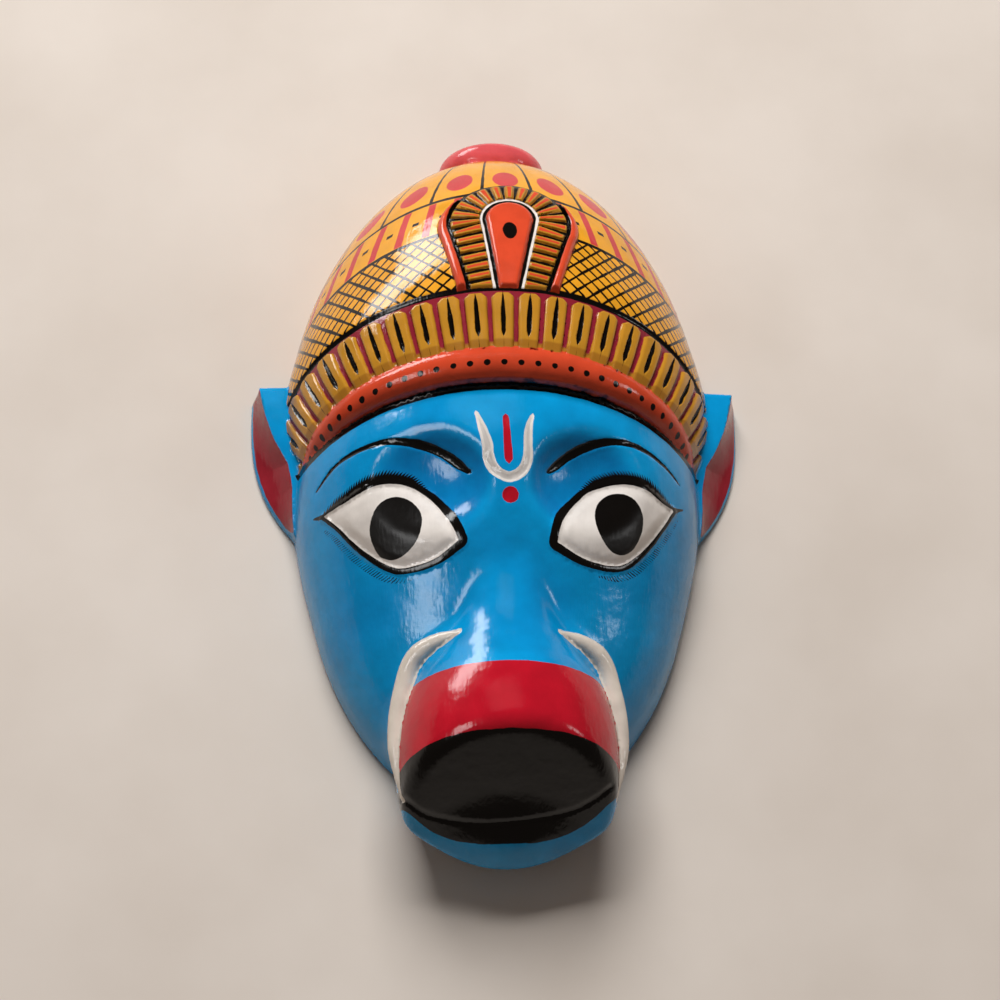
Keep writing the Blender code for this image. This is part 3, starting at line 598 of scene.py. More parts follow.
def tongue_inside(points, settings):
    """How far points lie inside a tongue and inside its slit, in metres."""
    count, share = tongue_count(points)
    across = np.abs(count - np.round(count)) * TONGUE_PITCH
    up = share * TONGUE_LENGTH
    half = settings.tongue_share * TONGUE_PITCH / 2.0
    tip = TONGUE_LENGTH - settings.tongue_gap
    shoulder = np.maximum(up - tip + half * 0.75, 0.0)
    tongue = np.minimum(half - across, (half * 1.30 - across - shoulder) * 0.75)
    tongue = np.minimum(tongue, tip - up)
    along = np.clip((share - SLIT_FOOT) / (SLIT_TOP - SLIT_FOOT), 0.0, 1.0)
    wide = np.sqrt(np.clip(along * 6.0, 0.0, 1.0)) * (1.0 - along**3)
    slit = settings.slit_width / 2.0 * wide - across
    return tongue, np.where((along > 0.0) & (along < 1.0), slit, -0.002)


def crest_places(points):
    """Places of points in the plan of the crest, about its own leaning middle line."""
    lean = CREST_LEAN * (points[:, 1] - CREST_FOOT_Y) + 0.0004
    return np.stack([points[:, 0] - lean, points[:, 1]], axis=-1)


def horseshoe(half_width, rise, foot_half_width, steps=30):
    """Open horseshoe path in the plan of the crest, from its right foot round the top."""
    start = math.radians(-20)
    path = [(foot_half_width, CREST_FOOT_Y)]
    for step in range(steps + 1):
        turn = start + (math.pi - 2.0 * start) * step / steps
        path.append((half_width * math.cos(turn), CREST_Y + rise * math.sin(turn)))
    path.append((-foot_half_width, CREST_FOOT_Y))
    return np.array(path)


def drop_path(grow=0.0):
    """Closed outline of the crest's drop, widened by grow."""
    half = 0.0100 + grow
    path = []
    for step in range(25):
        turn = math.pi * step / 24
        path.append((half * math.cos(turn), 0.0968 + (0.0102 + grow) * math.sin(turn)))
    foot = 0.0038 + grow
    path.append((-foot, CREST_FOOT_Y + 0.0014 - grow))
    path.append((foot, CREST_FOOT_Y + 0.0014 - grow))
    return np.array(path)


def signed_inside(places, path):
    """How far places lie inside a closed path, negative outside."""
    gap = path_reach(places, np.vstack([path, path[:1]]))[0]
    return np.where(within(places, path), gap, -gap)


def crest_marks(points, settings):
    """Signed depth inside the crest and inside its drop, and the share of the way round its ribs."""
    places = crest_places(points)
    sizes = (settings.crest_half_width, settings.crest_rise, settings.crest_foot)
    closed = signed_inside(places, horseshoe(*sizes))
    drop = signed_inside(places, drop_path())
    middle = horseshoe(*[size - inset for size, inset in zip(sizes, RIB_MIDDLE_INSETS)])
    share = path_reach(places, middle)[1]
    return closed, drop, share


def border_width(share, settings):
    """Width of the crest's border, which runs out over its round top."""
    return settings.crest_border * (1.0 - smooth(0.26, 0.42, share) * smooth(0.26, 0.42, 1.0 - share))


def eye_path(top_mm, foot_mm):
    """Closed outline of an eye's white, from its outer corner over its top."""
    top = curve_through(top_mm, 6)
    foot = curve_through(foot_mm, 6)
    return np.vstack([top[:-1], foot[:-1]]) * MM


LEFT_EYE = eye_path(LEFT_EYE_TOP_MM, LEFT_EYE_FOOT_MM)
RIGHT_EYE = eye_path(RIGHT_EYE_TOP_MM, RIGHT_EYE_FOOT_MM)
LID_SHARES = (0.0, 0.12, 0.25, 0.42, 0.50, 0.60, 0.75, 0.92, 1.0)
LID_WIDTHS = (0.0012, 0.0016, 0.0020, 0.0036, 0.0034, 0.0026, 0.0021, 0.0013, 0.0012)


def eye_marks(points):
    """How far points lie inside an eye's white, the width of its black line, and the share round it."""
    places = points[:, :2]
    inside = np.full(len(points), -0.05)
    width = np.zeros(len(points))
    turn = np.zeros(len(points))
    for path in (LEFT_EYE, RIGHT_EYE):
        side = np.sign(path[0, 0])
        rows = np.where((places[:, 0] * side > 0.006) & (np.abs(places[:, 1] + 0.036) < 0.040))[0]
        near = places[rows]
        gap, share, _, _ = path_reach(near, np.vstack([path, path[:1]]))
        inside[rows] = np.where(within(near, path), gap, -gap)
        width[rows] = np.interp(share, LID_SHARES, LID_WIDTHS)
        turn[rows] = share
    return inside, width, turn


def stroke(points, path_mm, shares, half_widths_mm):
    """Signed offset across a tapered stroke in the plan of the mask, and its half width there."""
    path = curve_through(path_mm) * MM
    places = points[:, :2]
    near = np.all((places > path.min(axis=0) - 0.010) & (places < path.max(axis=0) + 0.010), axis=1)
    rows = np.where(near & (points[:, 2] > 0.015))[0]
    across = np.full(len(points), 0.05)
    half = np.full(len(points), -0.05)
    _, share, side, past = path_reach(places[rows], path)
    across[rows] = side
    half[rows] = np.interp(share, shares, np.array(half_widths_mm) * MM) - past
    return across, half


def both(first, second):
    """Of two strokes, the one that each point lies deeper in."""
    deeper = first[1] - np.abs(first[0]) > second[1] - np.abs(second[0])
    return np.where(deeper, first[0], second[0]), np.where(deeper, first[1], second[1])


def brow(points):
    """Offset and half width of the two brow lines."""
    shares = (0.0, 0.12, 0.35, 0.70, 0.92, 1.0)
    widths = (0.4, 0.75, 1.25, 1.6, 1.6, 0.9)
    return both(stroke(points, LEFT_BROW_MM, shares, widths), stroke(points, RIGHT_BROW_MM, shares, widths))


def mark(points):
    """Offset and half width of the white mark on the forehead."""
    shares = (0.0, 0.12, 0.30, 0.50, 0.70, 0.88, 1.0)
    widths = (0.9, 1.8, 2.2, 2.0, 2.1, 1.7, 0.9)
    return stroke(points, MARK_MM, shares, widths)


def mark_stroke(points):
    """Offset and half width of the short red stroke inside the mark."""
    return stroke(points, MARK_STROKE_MM, (0.0, 1.0), (1.2, 1.8))


def mark_dot(points):
    """How far points lie inside the red dot under the mark."""
    x, y = MARK_DOT_MM
    away = np.hypot(points[:, 0] - x * MM, (points[:, 1] - y * MM) * MARK_DOT_SQUASH)
    dot = MARK_DOT_RADIUS - away
    return np.where(points[:, 2] > 0.03, dot, -0.05)


def depth_in(marks):
    """How far points lie inside a stroke."""
    across, half = marks
    return half - np.abs(across)


def mouth_gap(points):
    """Distance from the mouth line in the plan of the mask."""
    path = curve_through(MOUTH_MM) * MM
    gap = np.full(len(points), 1.0)
    rows = np.where((points[:, 1] < -0.135) & (points[:, 2] > 0.020))[0]
    gap[rows] = path_reach(points[rows, :2], path)[0]
    return gap


def crown_relief(points, settings):
    """Height of the crown's carving above its egg, in metres."""
    height = np.zeros(len(points))
    over_top = above(points, FLUTE_TOP)
    edge = settings.tier_edge * smooth(-0.0004, 0.0014, over_top) * (1.0 - smooth(0.006, 0.030, over_top))
    height += edge
    rows = np.where((over_top < 0.0012) & (above(points, FLUTE_LOW) > -0.002))[0]
    if len(rows):
        tongue, slit = tongue_inside(points[rows], settings)
        carved = settings.tongue_proud * dome(tongue, settings.tongue_rounding)
        carved -= settings.slit_depth * np.clip(slit / (settings.slit_width / 2.0), 0.0, 1.0) ** 0.7
        height[rows] += carved
    rows = np.where((np.abs(points[:, 0]) < 0.042) & (points[:, 1] > 0.052) & (points[:, 1] < 0.130)
                    & (points[:, 2] > 0.045))[0]
    if len(rows):
        inside, drop, share = crest_marks(points[rows], settings)
        width = border_width(share, settings)
        round_way = -inside - width / 2.0
        border = np.sqrt(np.clip(1.0 - (round_way / np.maximum(width / 2.0, 0.0002)) ** 2, 0.0, 1.0))
        border = settings.crest_border_proud * border * smooth(0.0006, 0.0020, width)
        step = share * settings.crest_ribs
        ribbed = 0.5 - np.abs(step - np.floor(step) - 0.5)
        rib = smooth(0.10, 0.30, ribbed) * smooth(0.0006, 0.0016, inside) * smooth(0.0022, 0.0032, -drop)
        carved = settings.crest_field * smooth(-0.0002, 0.0006, inside) + settings.rib_proud * rib
        carved = np.maximum(np.maximum(border, carved), settings.drop_proud * dome(drop, 0.0018))
        foot = smooth(0.0000, 0.0012, above(points[rows], FLUTE_TOP))
        height[rows] = height[rows] * (1.0 - smooth(-0.002, 0.001, inside) * foot) + carved * foot
    return height


def face_relief(points, settings):
    """Height of the face's low carving above its form, in metres."""
    inside, width, _ = eye_marks(points)
    reach = (((mirrored(points)[:, :2] - EYE_MIDDLE) / EYE_HALF) ** 2).sum(axis=1)
    height = settings.eye_bulge * np.clip(1.0 - reach, 0.0, 1.0) * smooth(0.0, 0.004, inside)
    round_way = (-inside - width * 0.5) / (width * 0.5 + 0.0008)
    height += settings.lid_proud * np.clip(1.0 - round_way**2, 0.0, 1.0)
    height -= settings.brow_depth * smooth(-0.0006, 0.0010, depth_in(brow(points)))
    height -= settings.mark_depth * smooth(0.0, 0.0016, depth_in(mark(points)))
    red = np.maximum(depth_in(mark_stroke(points)), mark_dot(points))
    height -= 0.6 * settings.mark_depth * smooth(0.0, 0.0014, red)
    height -= settings.mouth_depth * (1.0 - smooth(0.0, settings.mouth_width / 2.0, mouth_gap(points)))
    return height


def gouges(points):
    """Shallow scoops that the carver's gouge leaves in the hollow."""
    lane = points[:, 0] / 0.0095
    stagger = np.floor(lane) * 0.37
    stroke = points[:, 1] / 0.026 + stagger + 0.15 * np.sin(points[:, 0] * 90.0)
    across = np.abs(lane - np.floor(lane) - 0.5) * 2.0
    along = np.abs(stroke - np.floor(stroke) - 0.5) * 2.0
    return 0.0007 * (across**2 + 0.5 * along**2)


def carved_form(points, settings, fine=True):
    """Distance to the whole carved mask. Without fine, the low relief is left out."""
    crown = crown_egg(points)
    face = face_form(points)
    if fine:
        near = np.where(np.abs(crown) < 0.006)[0]
        crown[near] -= crown_relief(points[near], settings)
        near = np.where(np.abs(face) < 0.006)[0]
        face[near] -= face_relief(points[near], settings)
    crown = cut_soft(crown, -above(points, BAND_EDGE), 0.0010)
    head = np.minimum(face, crown)
    extra = ((roll_form, 0.0008, (np.abs(above(points, BAND_EDGE)) < 0.035) & (crown < 0.03)),
             (tusk_form, 0.0010, (points[:, 1] < -0.070) & (np.abs(head) < 0.03)),
             (knob_form, 0.0015, points[:, 1] > 0.130),
             (ear_form, 0.0012, (np.abs(points[:, 0]) > 0.055) & (points[:, 2] < 0.035)
              & (np.abs(points[:, 1] - 0.008) < 0.050)))
    for form, blend, where in extra:
        rows = np.where(where)[0]
        if len(rows):
            head[rows] = join_soft(head[rows], form(points[rows]), blend)
    rows = np.where(head < 0.002)[0]
    inner = hollow_form(points[rows]) + WALL + gouges(points[rows])
    head[rows] = cut_soft(head[rows], -inner, RIM_ROUNDING)
    return cut_soft(head, -points[:, 2], RIM_ROUNDING)


def net(form, low, high, cell):
    """Quads that wrap a form, one corner in each cell of a grid that its surface crosses."""
    counts = np.ceil((np.array(high) - low) / cell).astype(int) + 1
    axes = [low[axis] + cell * np.arange(counts[axis]) for axis in range(3)]
    grid = np.stack(np.meshgrid(*axes, indexing="ij"), axis=-1)
    value = form(grid.reshape(-1, 3)).reshape(counts)
    cells = tuple(counts - 1)
    total = np.zeros(cells + (3,))
    number = np.zeros(cells)
    crossings = []
    for axis in range(3):
        near = [slice(None)] * 3
        far = [slice(None)] * 3
        near[axis] = slice(0, -1)
        far[axis] = slice(1, None)
        first = value[tuple(near)]
        second = value[tuple(far)]
        crosses = (first < 0.0) != (second < 0.0)
        share = np.where(crosses, first / np.where(crosses, first - second, 1.0), 0.0)
        spot = grid[tuple(near)] + (share * cell)[..., None] * np.eye(3)[axis]
        spot = spot * crosses[..., None]
        others = [other for other in range(3) if other != axis]
        for first_step in (0, 1):
            for second_step in (0, 1):
                part = [slice(None)] * 3
                part[others[0]] = slice(first_step, counts[others[0]] - 1 + first_step)
                part[others[1]] = slice(second_step, counts[others[1]] - 1 + second_step)
                total += spot[tuple(part)]
                number += crosses[tuple(part)]
        crossings.append((axis, others, crosses, first < 0.0))
    used = number > 0
    index = np.full(cells, -1)
    index[used] = np.arange(used.sum())
    points = total[used] / number[used][:, None]
    quads = []
    for axis, others, crosses, starts_inside in crossings:
        at = np.argwhere(crosses)
        keep = np.all([(at[:, o] > 0) & (at[:, o] < counts[o] - 1) for o in others], axis=0)
        at = at[keep]
        corners = []
        for first_step, second_step in ((1, 1), (0, 1), (0, 0), (1, 0)):
            place = at.copy()
            place[:, others[0]] -= first_step
            place[:, others[1]] -= second_step
            corners.append(index[tuple(place.T)])
        quad = np.stack(corners, axis=-1)
        flip = starts_inside[tuple(at.T)] if axis != 1 else ~starts_inside[tuple(at.T)]
        quads.append(np.where(flip[:, None], quad, quad[:, ::-1]))
    return points, np.vstack(quads)


def settle(points, form, rounds=3, most=0.0012):
    """Move points on to a form's surface."""
    for _ in range(rounds):
        value = form(points)
        slope = slope_of(form, points, value)
        size = np.maximum(np.sum(slope * slope, axis=1), 0.25)
        step = slope * (value / size)[:, None]
        length = np.linalg.norm(step, axis=1)
        points = points - step * np.minimum(1.0, most / np.maximum(length, 1e-12))[:, None]
    return points


def edges_of(triangles):
    """Each edge once, and the three edges of each triangle."""
    pairs = np.sort(triangles[:, [[0, 1], [1, 2], [2, 0]]].reshape(-1, 2), axis=1).astype(np.int64)
    count = int(triangles.max()) + 1
    codes, back = np.unique(pairs[:, 0] * count + pairs[:, 1], return_inverse=True)
    return np.stack([codes // count, codes % count], axis=-1), back.reshape(-1, 3)


def relax(points, triangles, share, rounds=1):
    """Slide points towards the middle of their neighbours, along the surface."""
    edges, _ = edges_of(triangles)
    for _ in range(rounds):
        total = np.zeros_like(points)
        count = np.zeros(len(points))
        for here, there in ((0, 1), (1, 0)):
            for axis in range(3):
                total[:, axis] += np.bincount(edges[:, here], points[edges[:, there], axis], len(points))
            count += np.bincount(edges[:, here], minlength=len(points))
        shift = total / count[:, None] - points
        normal = np.zeros_like(points)
        faces = np.cross(points[triangles[:, 1]] - points[triangles[:, 0]],
                         points[triangles[:, 2]] - points[triangles[:, 0]])
        for corner in range(3):
            for axis in range(3):
                normal[:, axis] += np.bincount(triangles[:, corner], faces[:, axis], len(points))
        normal /= np.maximum(np.linalg.norm(normal, axis=1), 1e-20)[:, None]
        shift -= normal * np.sum(shift * normal, axis=1)[:, None]
        points = points + share * shift
    return points


def split_long(points, triangles, size_at):
    """Halve each edge longer than the size wanted there, and each triangle's longest edge with it."""
    edges, sides = edges_of(triangles)
    length = np.linalg.norm(points[edges[:, 0]] - points[edges[:, 1]], axis=1)
    middle = (points[edges[:, 0]] + points[edges[:, 1]]) / 2.0
    marked = length > size_at(middle)
    longest = sides[np.arange(len(sides)), np.argmax(length[sides], axis=1)]
    while True:
        wanted = marked[sides].any(axis=1) & ~marked[longest]
        if not wanted.any():
            break
        marked[longest[wanted]] = True
    if not marked.any():
        return points, triangles, False
    number = np.full(len(edges), -1)
    number[marked] = len(points) + np.arange(marked.sum())
    points = np.vstack([points, middle[marked]])
    turn = np.argmax(length[sides], axis=1)
    order = (turn[:, None] + np.arange(3)) % 3
    corner = np.take_along_axis(triangles, order, axis=1)
    side = number[np.take_along_axis(sides, order, axis=1)]
    a, b, c = corner.T
    ab, bc, ca = side.T
    whole = ab < 0
    parts = [triangles[whole]]
    for cut, plain, with_cut in ((ca, (a, ab, c), ((a, ab, ca), (ab, c, ca))),
                                 (bc, (ab, b, c), ((ab, b, bc), (ab, bc, c)))):
        rows = ~whole & (cut < 0)
        parts.append(np.stack(plain, axis=-1)[rows])
        rows = ~whole & (cut >= 0)
        for piece in with_cut:
            parts.append(np.stack(piece, axis=-1)[rows])
    return points, np.vstack(parts), True


def size_wanted(points, settings):
    """Longest edge wanted at points: short where there is fine carving, longer elsewhere."""
    size = np.full(len(points), settings.coarse_size)
    outer = np.abs(crown_egg(points)) < 0.009
    low = above(points, FLUTE_LOW)
    high = above(points, FLUTE_TOP)
    row = np.maximum(np.maximum(-low - 0.001, high - 0.0015), 0.0)
    size = np.where(outer, np.minimum(size, settings.fine_size + 0.5 * row), size)
    places = crest_places(points)
    crest = np.maximum(np.hypot(places[:, 0] / 0.031, (places[:, 1] - 0.090) / 0.036) - 1.0, 0.0) * 0.03
    outer &= points[:, 2] > 0.04
    size = np.where(outer, np.minimum(size, settings.fine_size + 0.5 * crest), size)
    roll = np.abs(roll_form(points))
    size = np.minimum(size, settings.middle_size + 0.5 * roll)
    skin = np.abs(face_form(points)) < 0.008
    inside, width, _ = eye_marks(points)
    eye = np.maximum(np.abs(inside + width / 2.0) - width / 2.0 - 0.0012, 0.0)
    size = np.where(skin, np.minimum(size, settings.middle_size + 0.4 * eye), size)
    for marks in (brow, mark, mark_stroke):
        away = np.maximum(-depth_in(marks(points)) - 0.001, 0.0)
        size = np.where(skin, np.minimum(size, settings.middle_size + 0.4 * away), size)
    ear = settings.middle_size * 1.2 + np.maximum(np.abs(ear_form(points)) - 0.001, 0.0)
    size = np.where(np.abs(points[:, 0]) > 0.060, np.minimum(size, ear), size)
    mouth = np.maximum(mouth_gap(points) - 0.002, 0.0)
    size = np.where(skin, np.minimum(size, settings.middle_size + 0.4 * mouth), size)
    rows = np.where((points[:, 1] < -0.070) & skin)[0]
    tusk = np.maximum(tusk_form(points[rows]), 0.0)
    size[rows] = np.minimum(size[rows], settings.middle_size * 1.2 + 0.5 * tusk)
    return np.where(hollow_form(points) < -0.006, settings.hollow_size, size)


# Corners of the block that the grid fills.
GRID_REACH = (np.array([-0.110, -0.173, -0.004]), np.array([0.110, 0.172, 0.092]))


def carve(settings):
    """Points, triangles and outward directions of the carved mask, in the block's own place."""
    plain = partial(carved_form, settings=settings, fine=False)
    full = partial(carved_form, settings=settings)
    wanted = partial(size_wanted, settings=settings)
    points, quads = net(plain, *GRID_REACH, settings.grid_size)
    first = np.linalg.norm(points[quads[:, 0]] - points[quads[:, 2]], axis=1)
    second = np.linalg.norm(points[quads[:, 1]] - points[quads[:, 3]], axis=1)
    short = (first <= second)[:, None]
    triangles = np.vstack([np.where(short, quads[:, [0, 1, 2]], quads[:, [0, 1, 3]]),
                           np.where(short, quads[:, [0, 2, 3]], quads[:, [1, 2, 3]])])
    for _ in range(3):
        points = relax(points, triangles, 0.5, 2)
        points = settle(points, plain, 2)
    for _ in range(6):
        points, triangles, more = split_long(points, triangles, wanted)
        if not more:
            break
        points = relax(points, triangles, 0.4)
        points = settle(points, full, 1)
    for _ in range(2):
        points = relax(points, triangles, 0.35)
        points = settle(points, full, 2, 0.0006)
    points[:, 2] = np.maximum(points[:, 2], 0.0)
    outward = slope_of(full, points, None, 0.00012)
    outward /= np.maximum(np.linalg.norm(outward, axis=1), 1e-9)[:, None]
    return points, triangles, outward


def paint_maps(points, settings):
    """Values that the paint reads, one for each point: lengths in millimetres, shares and counts."""
    crown = crown_egg(points)
    folded = mirrored(points)
    _, ridge, outer, _, _ = ear_lines(folded)
    ear = ear_form(points)
    roll = roll_form(points)
    lengths = {"bare_wood": -(hollow_form(points) + WALL - 0.0025)}
    lengths["crown"] = np.minimum(np.minimum(above(points, BAND_EDGE), 0.005 - crown), ear - 0.0006)
    lengths["knob"] = 0.0012 - np.where(points[:, 1] > 0.130, knob_form(points), 1.0)
    # Egg of the eye sockets: outline of the deeper blue, which is partly painted shade of the recess.
    lengths["socket"] = -egg(folded, SOCKET_CENTRE, SOCKET_HALF)
    lengths["bars"] = above(points, BARS_TOP)
    lengths["weave"] = above(points, WEAVE_TOP)
    lengths["tier"] = above(points, FLUTE_TOP)
    lengths["flutes"] = above(points, FLUTE_LOW)
    middle = ((BAND_EDGE[0] + FLUTE_LOW[0]) / 2.0, (BAND_EDGE[1] + FLUTE_LOW[1]) / 2.0)
    lengths["roll_middle"] = above(points, middle)
    lengths["roll"] = -roll
    inside, drop, share = crest_marks(points, settings)
    near_crest = (np.abs(crown) < 0.012) & (points[:, 2] > 0.04)
    lengths["crest"] = np.where(near_crest, inside, -0.05)
    lengths["border"] = np.where(near_crest, border_width(share, settings) + inside, -0.05)
    lengths["drop"] = np.where(near_crest, drop, -0.05)
    eye, width, turn = eye_marks(points)
    lengths["eye"] = eye
    lengths["lid"] = eye + width
    lengths["lash_along"] = turn * EYE_ROUND
    lengths["lash"] = np.maximum(UPPER_LASH_LENGTH * np.interp(turn, *UPPER_LASH), 0.0001) + eye
    lower = LOWER_LASH_LENGTH * np.interp(turn, *LOWER_LASH)
    lengths["under_lash"] = lower - np.abs(eye + width + LOWER_LASH_GAP)
    lengths["pupil"] = np.maximum(*[pupil(points, *sizes) for sizes in PUPILS])
    lengths["tusk"] = 0.0009 - tusk_form(points)
    angle = np.arctan2(points[:, 2] - SNOUT_HEIGHT, folded[:, 0])
    limit = np.interp(points[:, 1], TUSK_POINTS[:, 1], TUSK_ANGLES)
    on_snout = (angle - limit) * np.hypot(folded[:, 0], points[:, 2] - SNOUT_HEIGHT)
    on_snout = np.where(points[:, 1] < TUSK_ROOT_Y + TUSK_ROOT_MARGIN, 0.02, on_snout)
    bottom = BLACK_FOOT + BLACK_RISE * (np.abs(points[:, 0] + 0.002) / BLACK_HALF) ** BLACK_BEND
    red = np.minimum(-above(points, SNOUT_RED_EDGE), points[:, 1] - SNOUT_RED_FOOT)
    black = np.minimum(-above(points, SNOUT_BLACK_EDGE), (points[:, 1] - bottom) * 0.75)
    lengths["snout_red"] = np.minimum(red, on_snout)
    lengths["snout_black"] = np.minimum(black, on_snout)
    for name, marks in (("brow", brow), ("mark", mark), ("mark_stroke", mark_stroke)):
        lengths[name], lengths[name + "_half"] = marks(points)
    for name, tip, corner in (("left_flick", LEFT_LASH_TIP_MM, LEFT_EYE[0]),
                              ("right_flick", RIGHT_LASH_TIP_MM, RIGHT_EYE[0])):
        flick = stroke(points, (corner / MM, tip), (0.0, 1.0), (1.2, 0.2))
        lengths[name], lengths[name + "_half"] = flick
    lengths["mark_dot"] = mark_dot(points)
    scoop = np.minimum(folded[:, 0] - ridge, outer - 0.0012 - folded[:, 0])
    lengths["ear_red"] = np.minimum(scoop, 0.0008 - ear)
    maps = {name: values / MM for name, values in lengths.items()}
    maps["rib_share"] = share
    maps["turn"] = np.degrees(np.arctan2(np.maximum(points[:, 2], 0.0), points[:, 0]))
    maps["tongue_count"], maps["tongue_share"] = tongue_count(points)
    return maps


def pupil(points, x_mm, y_mm, half_x_mm, half_y_mm, narrow, lean):
    """How far points lie inside a painted pupil, an egg that narrows downwards and leans."""
    turn = math.radians(lean)
    dx = points[:, 0] / MM - x_mm
    dy = points[:, 1] / MM - y_mm
    across = dx * math.cos(turn) - dy * math.sin(turn)
    up = dx * math.sin(turn) + dy * math.cos(turn)
    width = half_x_mm * (1.0 + narrow * np.clip(up / half_y_mm, -1.0, 1.0))
    return (1.0 - np.hypot(across / width, up / half_y_mm)) * half_x_mm * MM


def build_mesh(name, points, triangles, outward, maps):
    """Mesh object of the carved mask with its paint values."""
    mesh = bpy.data.meshes.new(name)
    mesh.vertices.add(len(points))
    mesh.vertices.foreach_set("co", points.astype(np.float32).ravel())
    mesh.loops.add(triangles.size)
    mesh.loops.foreach_set("vertex_index", triangles.astype(np.int32).ravel())
    mesh.polygons.add(len(triangles))
    mesh.polygons.foreach_set("loop_start", np.arange(0, triangles.size, 3, dtype=np.int32))
    mesh.polygons.foreach_set("loop_total", np.full(len(triangles), 3, dtype=np.int32))
    mesh.update(calc_edges=True)
    mesh.validate()
    mesh.shade_smooth()
    mesh.normals_split_custom_set_from_vertices(outward.tolist())
    for key, values in maps.items():
        layer = mesh.attributes.new(key, "FLOAT", "POINT")
        layer.data.foreach_set("value", np.clip(values, -200.0, 400.0).astype(np.float32))
    obj = bpy.data.objects.new(name, mesh)
    bpy.context.scene.collection.objects.link(obj)
    return obj


def node(tree, kind, *inputs, sockets=None, output=0, **settings):
    """Add a node with its settings and links, and return one of its outputs. A name given as an input
    stands for the mesh's own value of that name."""
    made = tree.nodes.new("ShaderNode" + kind)
    for key, value in settings.items():
        setattr(made, key, value)
    for key, value in {**dict(enumerate(inputs)), **(sockets or {})}.items():
        if isinstance(value, str):
            value = node(tree, "Attribute", attribute_name=value, output="Fac")
        if isinstance(value, bpy.types.NodeSocket):
            tree.links.new(value, made.inputs[key])
        else:
            made.inputs[key].default_value = value
    return made.outputs[output]


def opaque(colour):
    """Four numbers of a colour property."""
    return (colour[0], colour[1], colour[2], 1.0)


# Roughness of the bare wood, and how deep in it, in millimetres, a face is given to it alone.
BARE_ROUGHNESS = 0.72
BARE_MM = 1.0


class Brush:
    """Lays one paint over another inside an outline, with a hand-drawn edge."""

    def __init__(self, tree, colour, wobble):
        self.add = partial(node, tree)
        self.colour = colour
        self.wobble = wobble

    def lay(self, paint, *insides, soft=0.12):
        """Brush a paint on where all of insides, in millimetres, are above 0."""
        depth = insides[0]
        for other in insides[1:]:
            depth = self.add("Math", depth, other, operation="MINIMUM")
        uneven = self.add("Math", depth, self.wobble, operation="ADD")
        cover = self.add("MapRange", uneven, -soft, soft, interpolation_type="SMOOTHSTEP")
        mixed = {0: cover, 6: self.colour, 7: paint}
        self.colour = self.add("Mix", sockets=mixed, output=2, data_type="RGBA")
        return cover

    def line(self, value, half_width):
        """Depth inside a line drawn where a value is 0."""
        away = self.add("Math", value, operation="ABSOLUTE")
        return self.add("Math", half_width, away, operation="SUBTRACT")

    def repeat(self, value, period, start, half_width, scale):
        """Depth inside the nearest of a row of bars, a period apart, and distance from its middle."""
        moved = self.add("Math", value, -start, operation="ADD")
        away = self.add("Math", moved, period / 2.0, operation="PINGPONG")
        away = self.add("Math", away, scale, operation="MULTIPLY")
        return self.add("Math", half_width, away, operation="SUBTRACT"), away


def paint_crown(brush, colours):
    """Yellow crown with its bands of ovals, bars and net, and the lines between them."""
    add, lay, line = brush.add, brush.lay, brush.line
    below_weave = add("Math", "weave", -1.0, operation="MULTIPLY")
    below_bars = add("Math", "bars", -1.0, operation="MULTIPLY")
    black, rose = opaque(colours.black), opaque(colours.rose)
    lay(opaque(colours.yellow), "crown")
    # Ovals between upright lines, in the top band.
    narrowed = DEGREE_MM * TOP_NARROWING
    _, away = brush.repeat("turn", OVAL_PERIOD, OVAL_START, 0.0, narrowed)
    high = add("Math", "bars", OVAL_HEIGHT, operation="SUBTRACT")
    high = add("Math", high, OVAL_SQUASH, operation="MULTIPLY")
    reach = add("VectorMath", add("CombineXYZ", away, high, 0.0), operation="LENGTH", output="Value")
    lay(rose, add("Math", OVAL_RADIUS, reach, operation="SUBTRACT"), "bars", "crown", soft=0.35)
    between = OVAL_START + OVAL_PERIOD / 2.0
    upright, _ = brush.repeat("turn", OVAL_PERIOD, between, UPRIGHT_HALF_MM, narrowed)
    lay(black, upright, "bars", "crown")
    # Bars and dashes, in the band below.
    narrowed = DEGREE_MM * BAR_NARROWING
    in_bars = [add("Math", side, BAR_MARGIN_MM, operation="SUBTRACT") for side in ("weave", below_bars)]
    bar, _ = brush.repeat("turn", BAR_PERIOD, BAR_START, BAR_HALF_MM, narrowed)
    lay(rose, bar, *in_bars, "crown", soft=0.25)
    dash, _ = brush.repeat("turn", BAR_PERIOD, BAR_START + BAR_PERIOD / 2.0, DASH_HALF_MM[0], narrowed)
    lay(black, dash, line(add("Math", "weave", "bars", operation="ADD"), DASH_HALF_MM[1]), "crown")
    # Slanting net below that.
    sweep = add("Math", "turn", DEGREE_MM, operation="MULTIPLY")
    for lean in (NET_LEAN, -NET_LEAN):
        slanted = add("Math", "tier", lean, sweep, operation="MULTIPLY_ADD")
        strand, _ = brush.repeat(slanted, NET_PERIOD, NET_START, NET_HALF_MM, NET_NARROWING)
        lay(black, strand, "tier", below_weave, "crown")
    for name, half_width in CROWN_LINES_MM:
        lay(black, line(name, half_width), "crown")


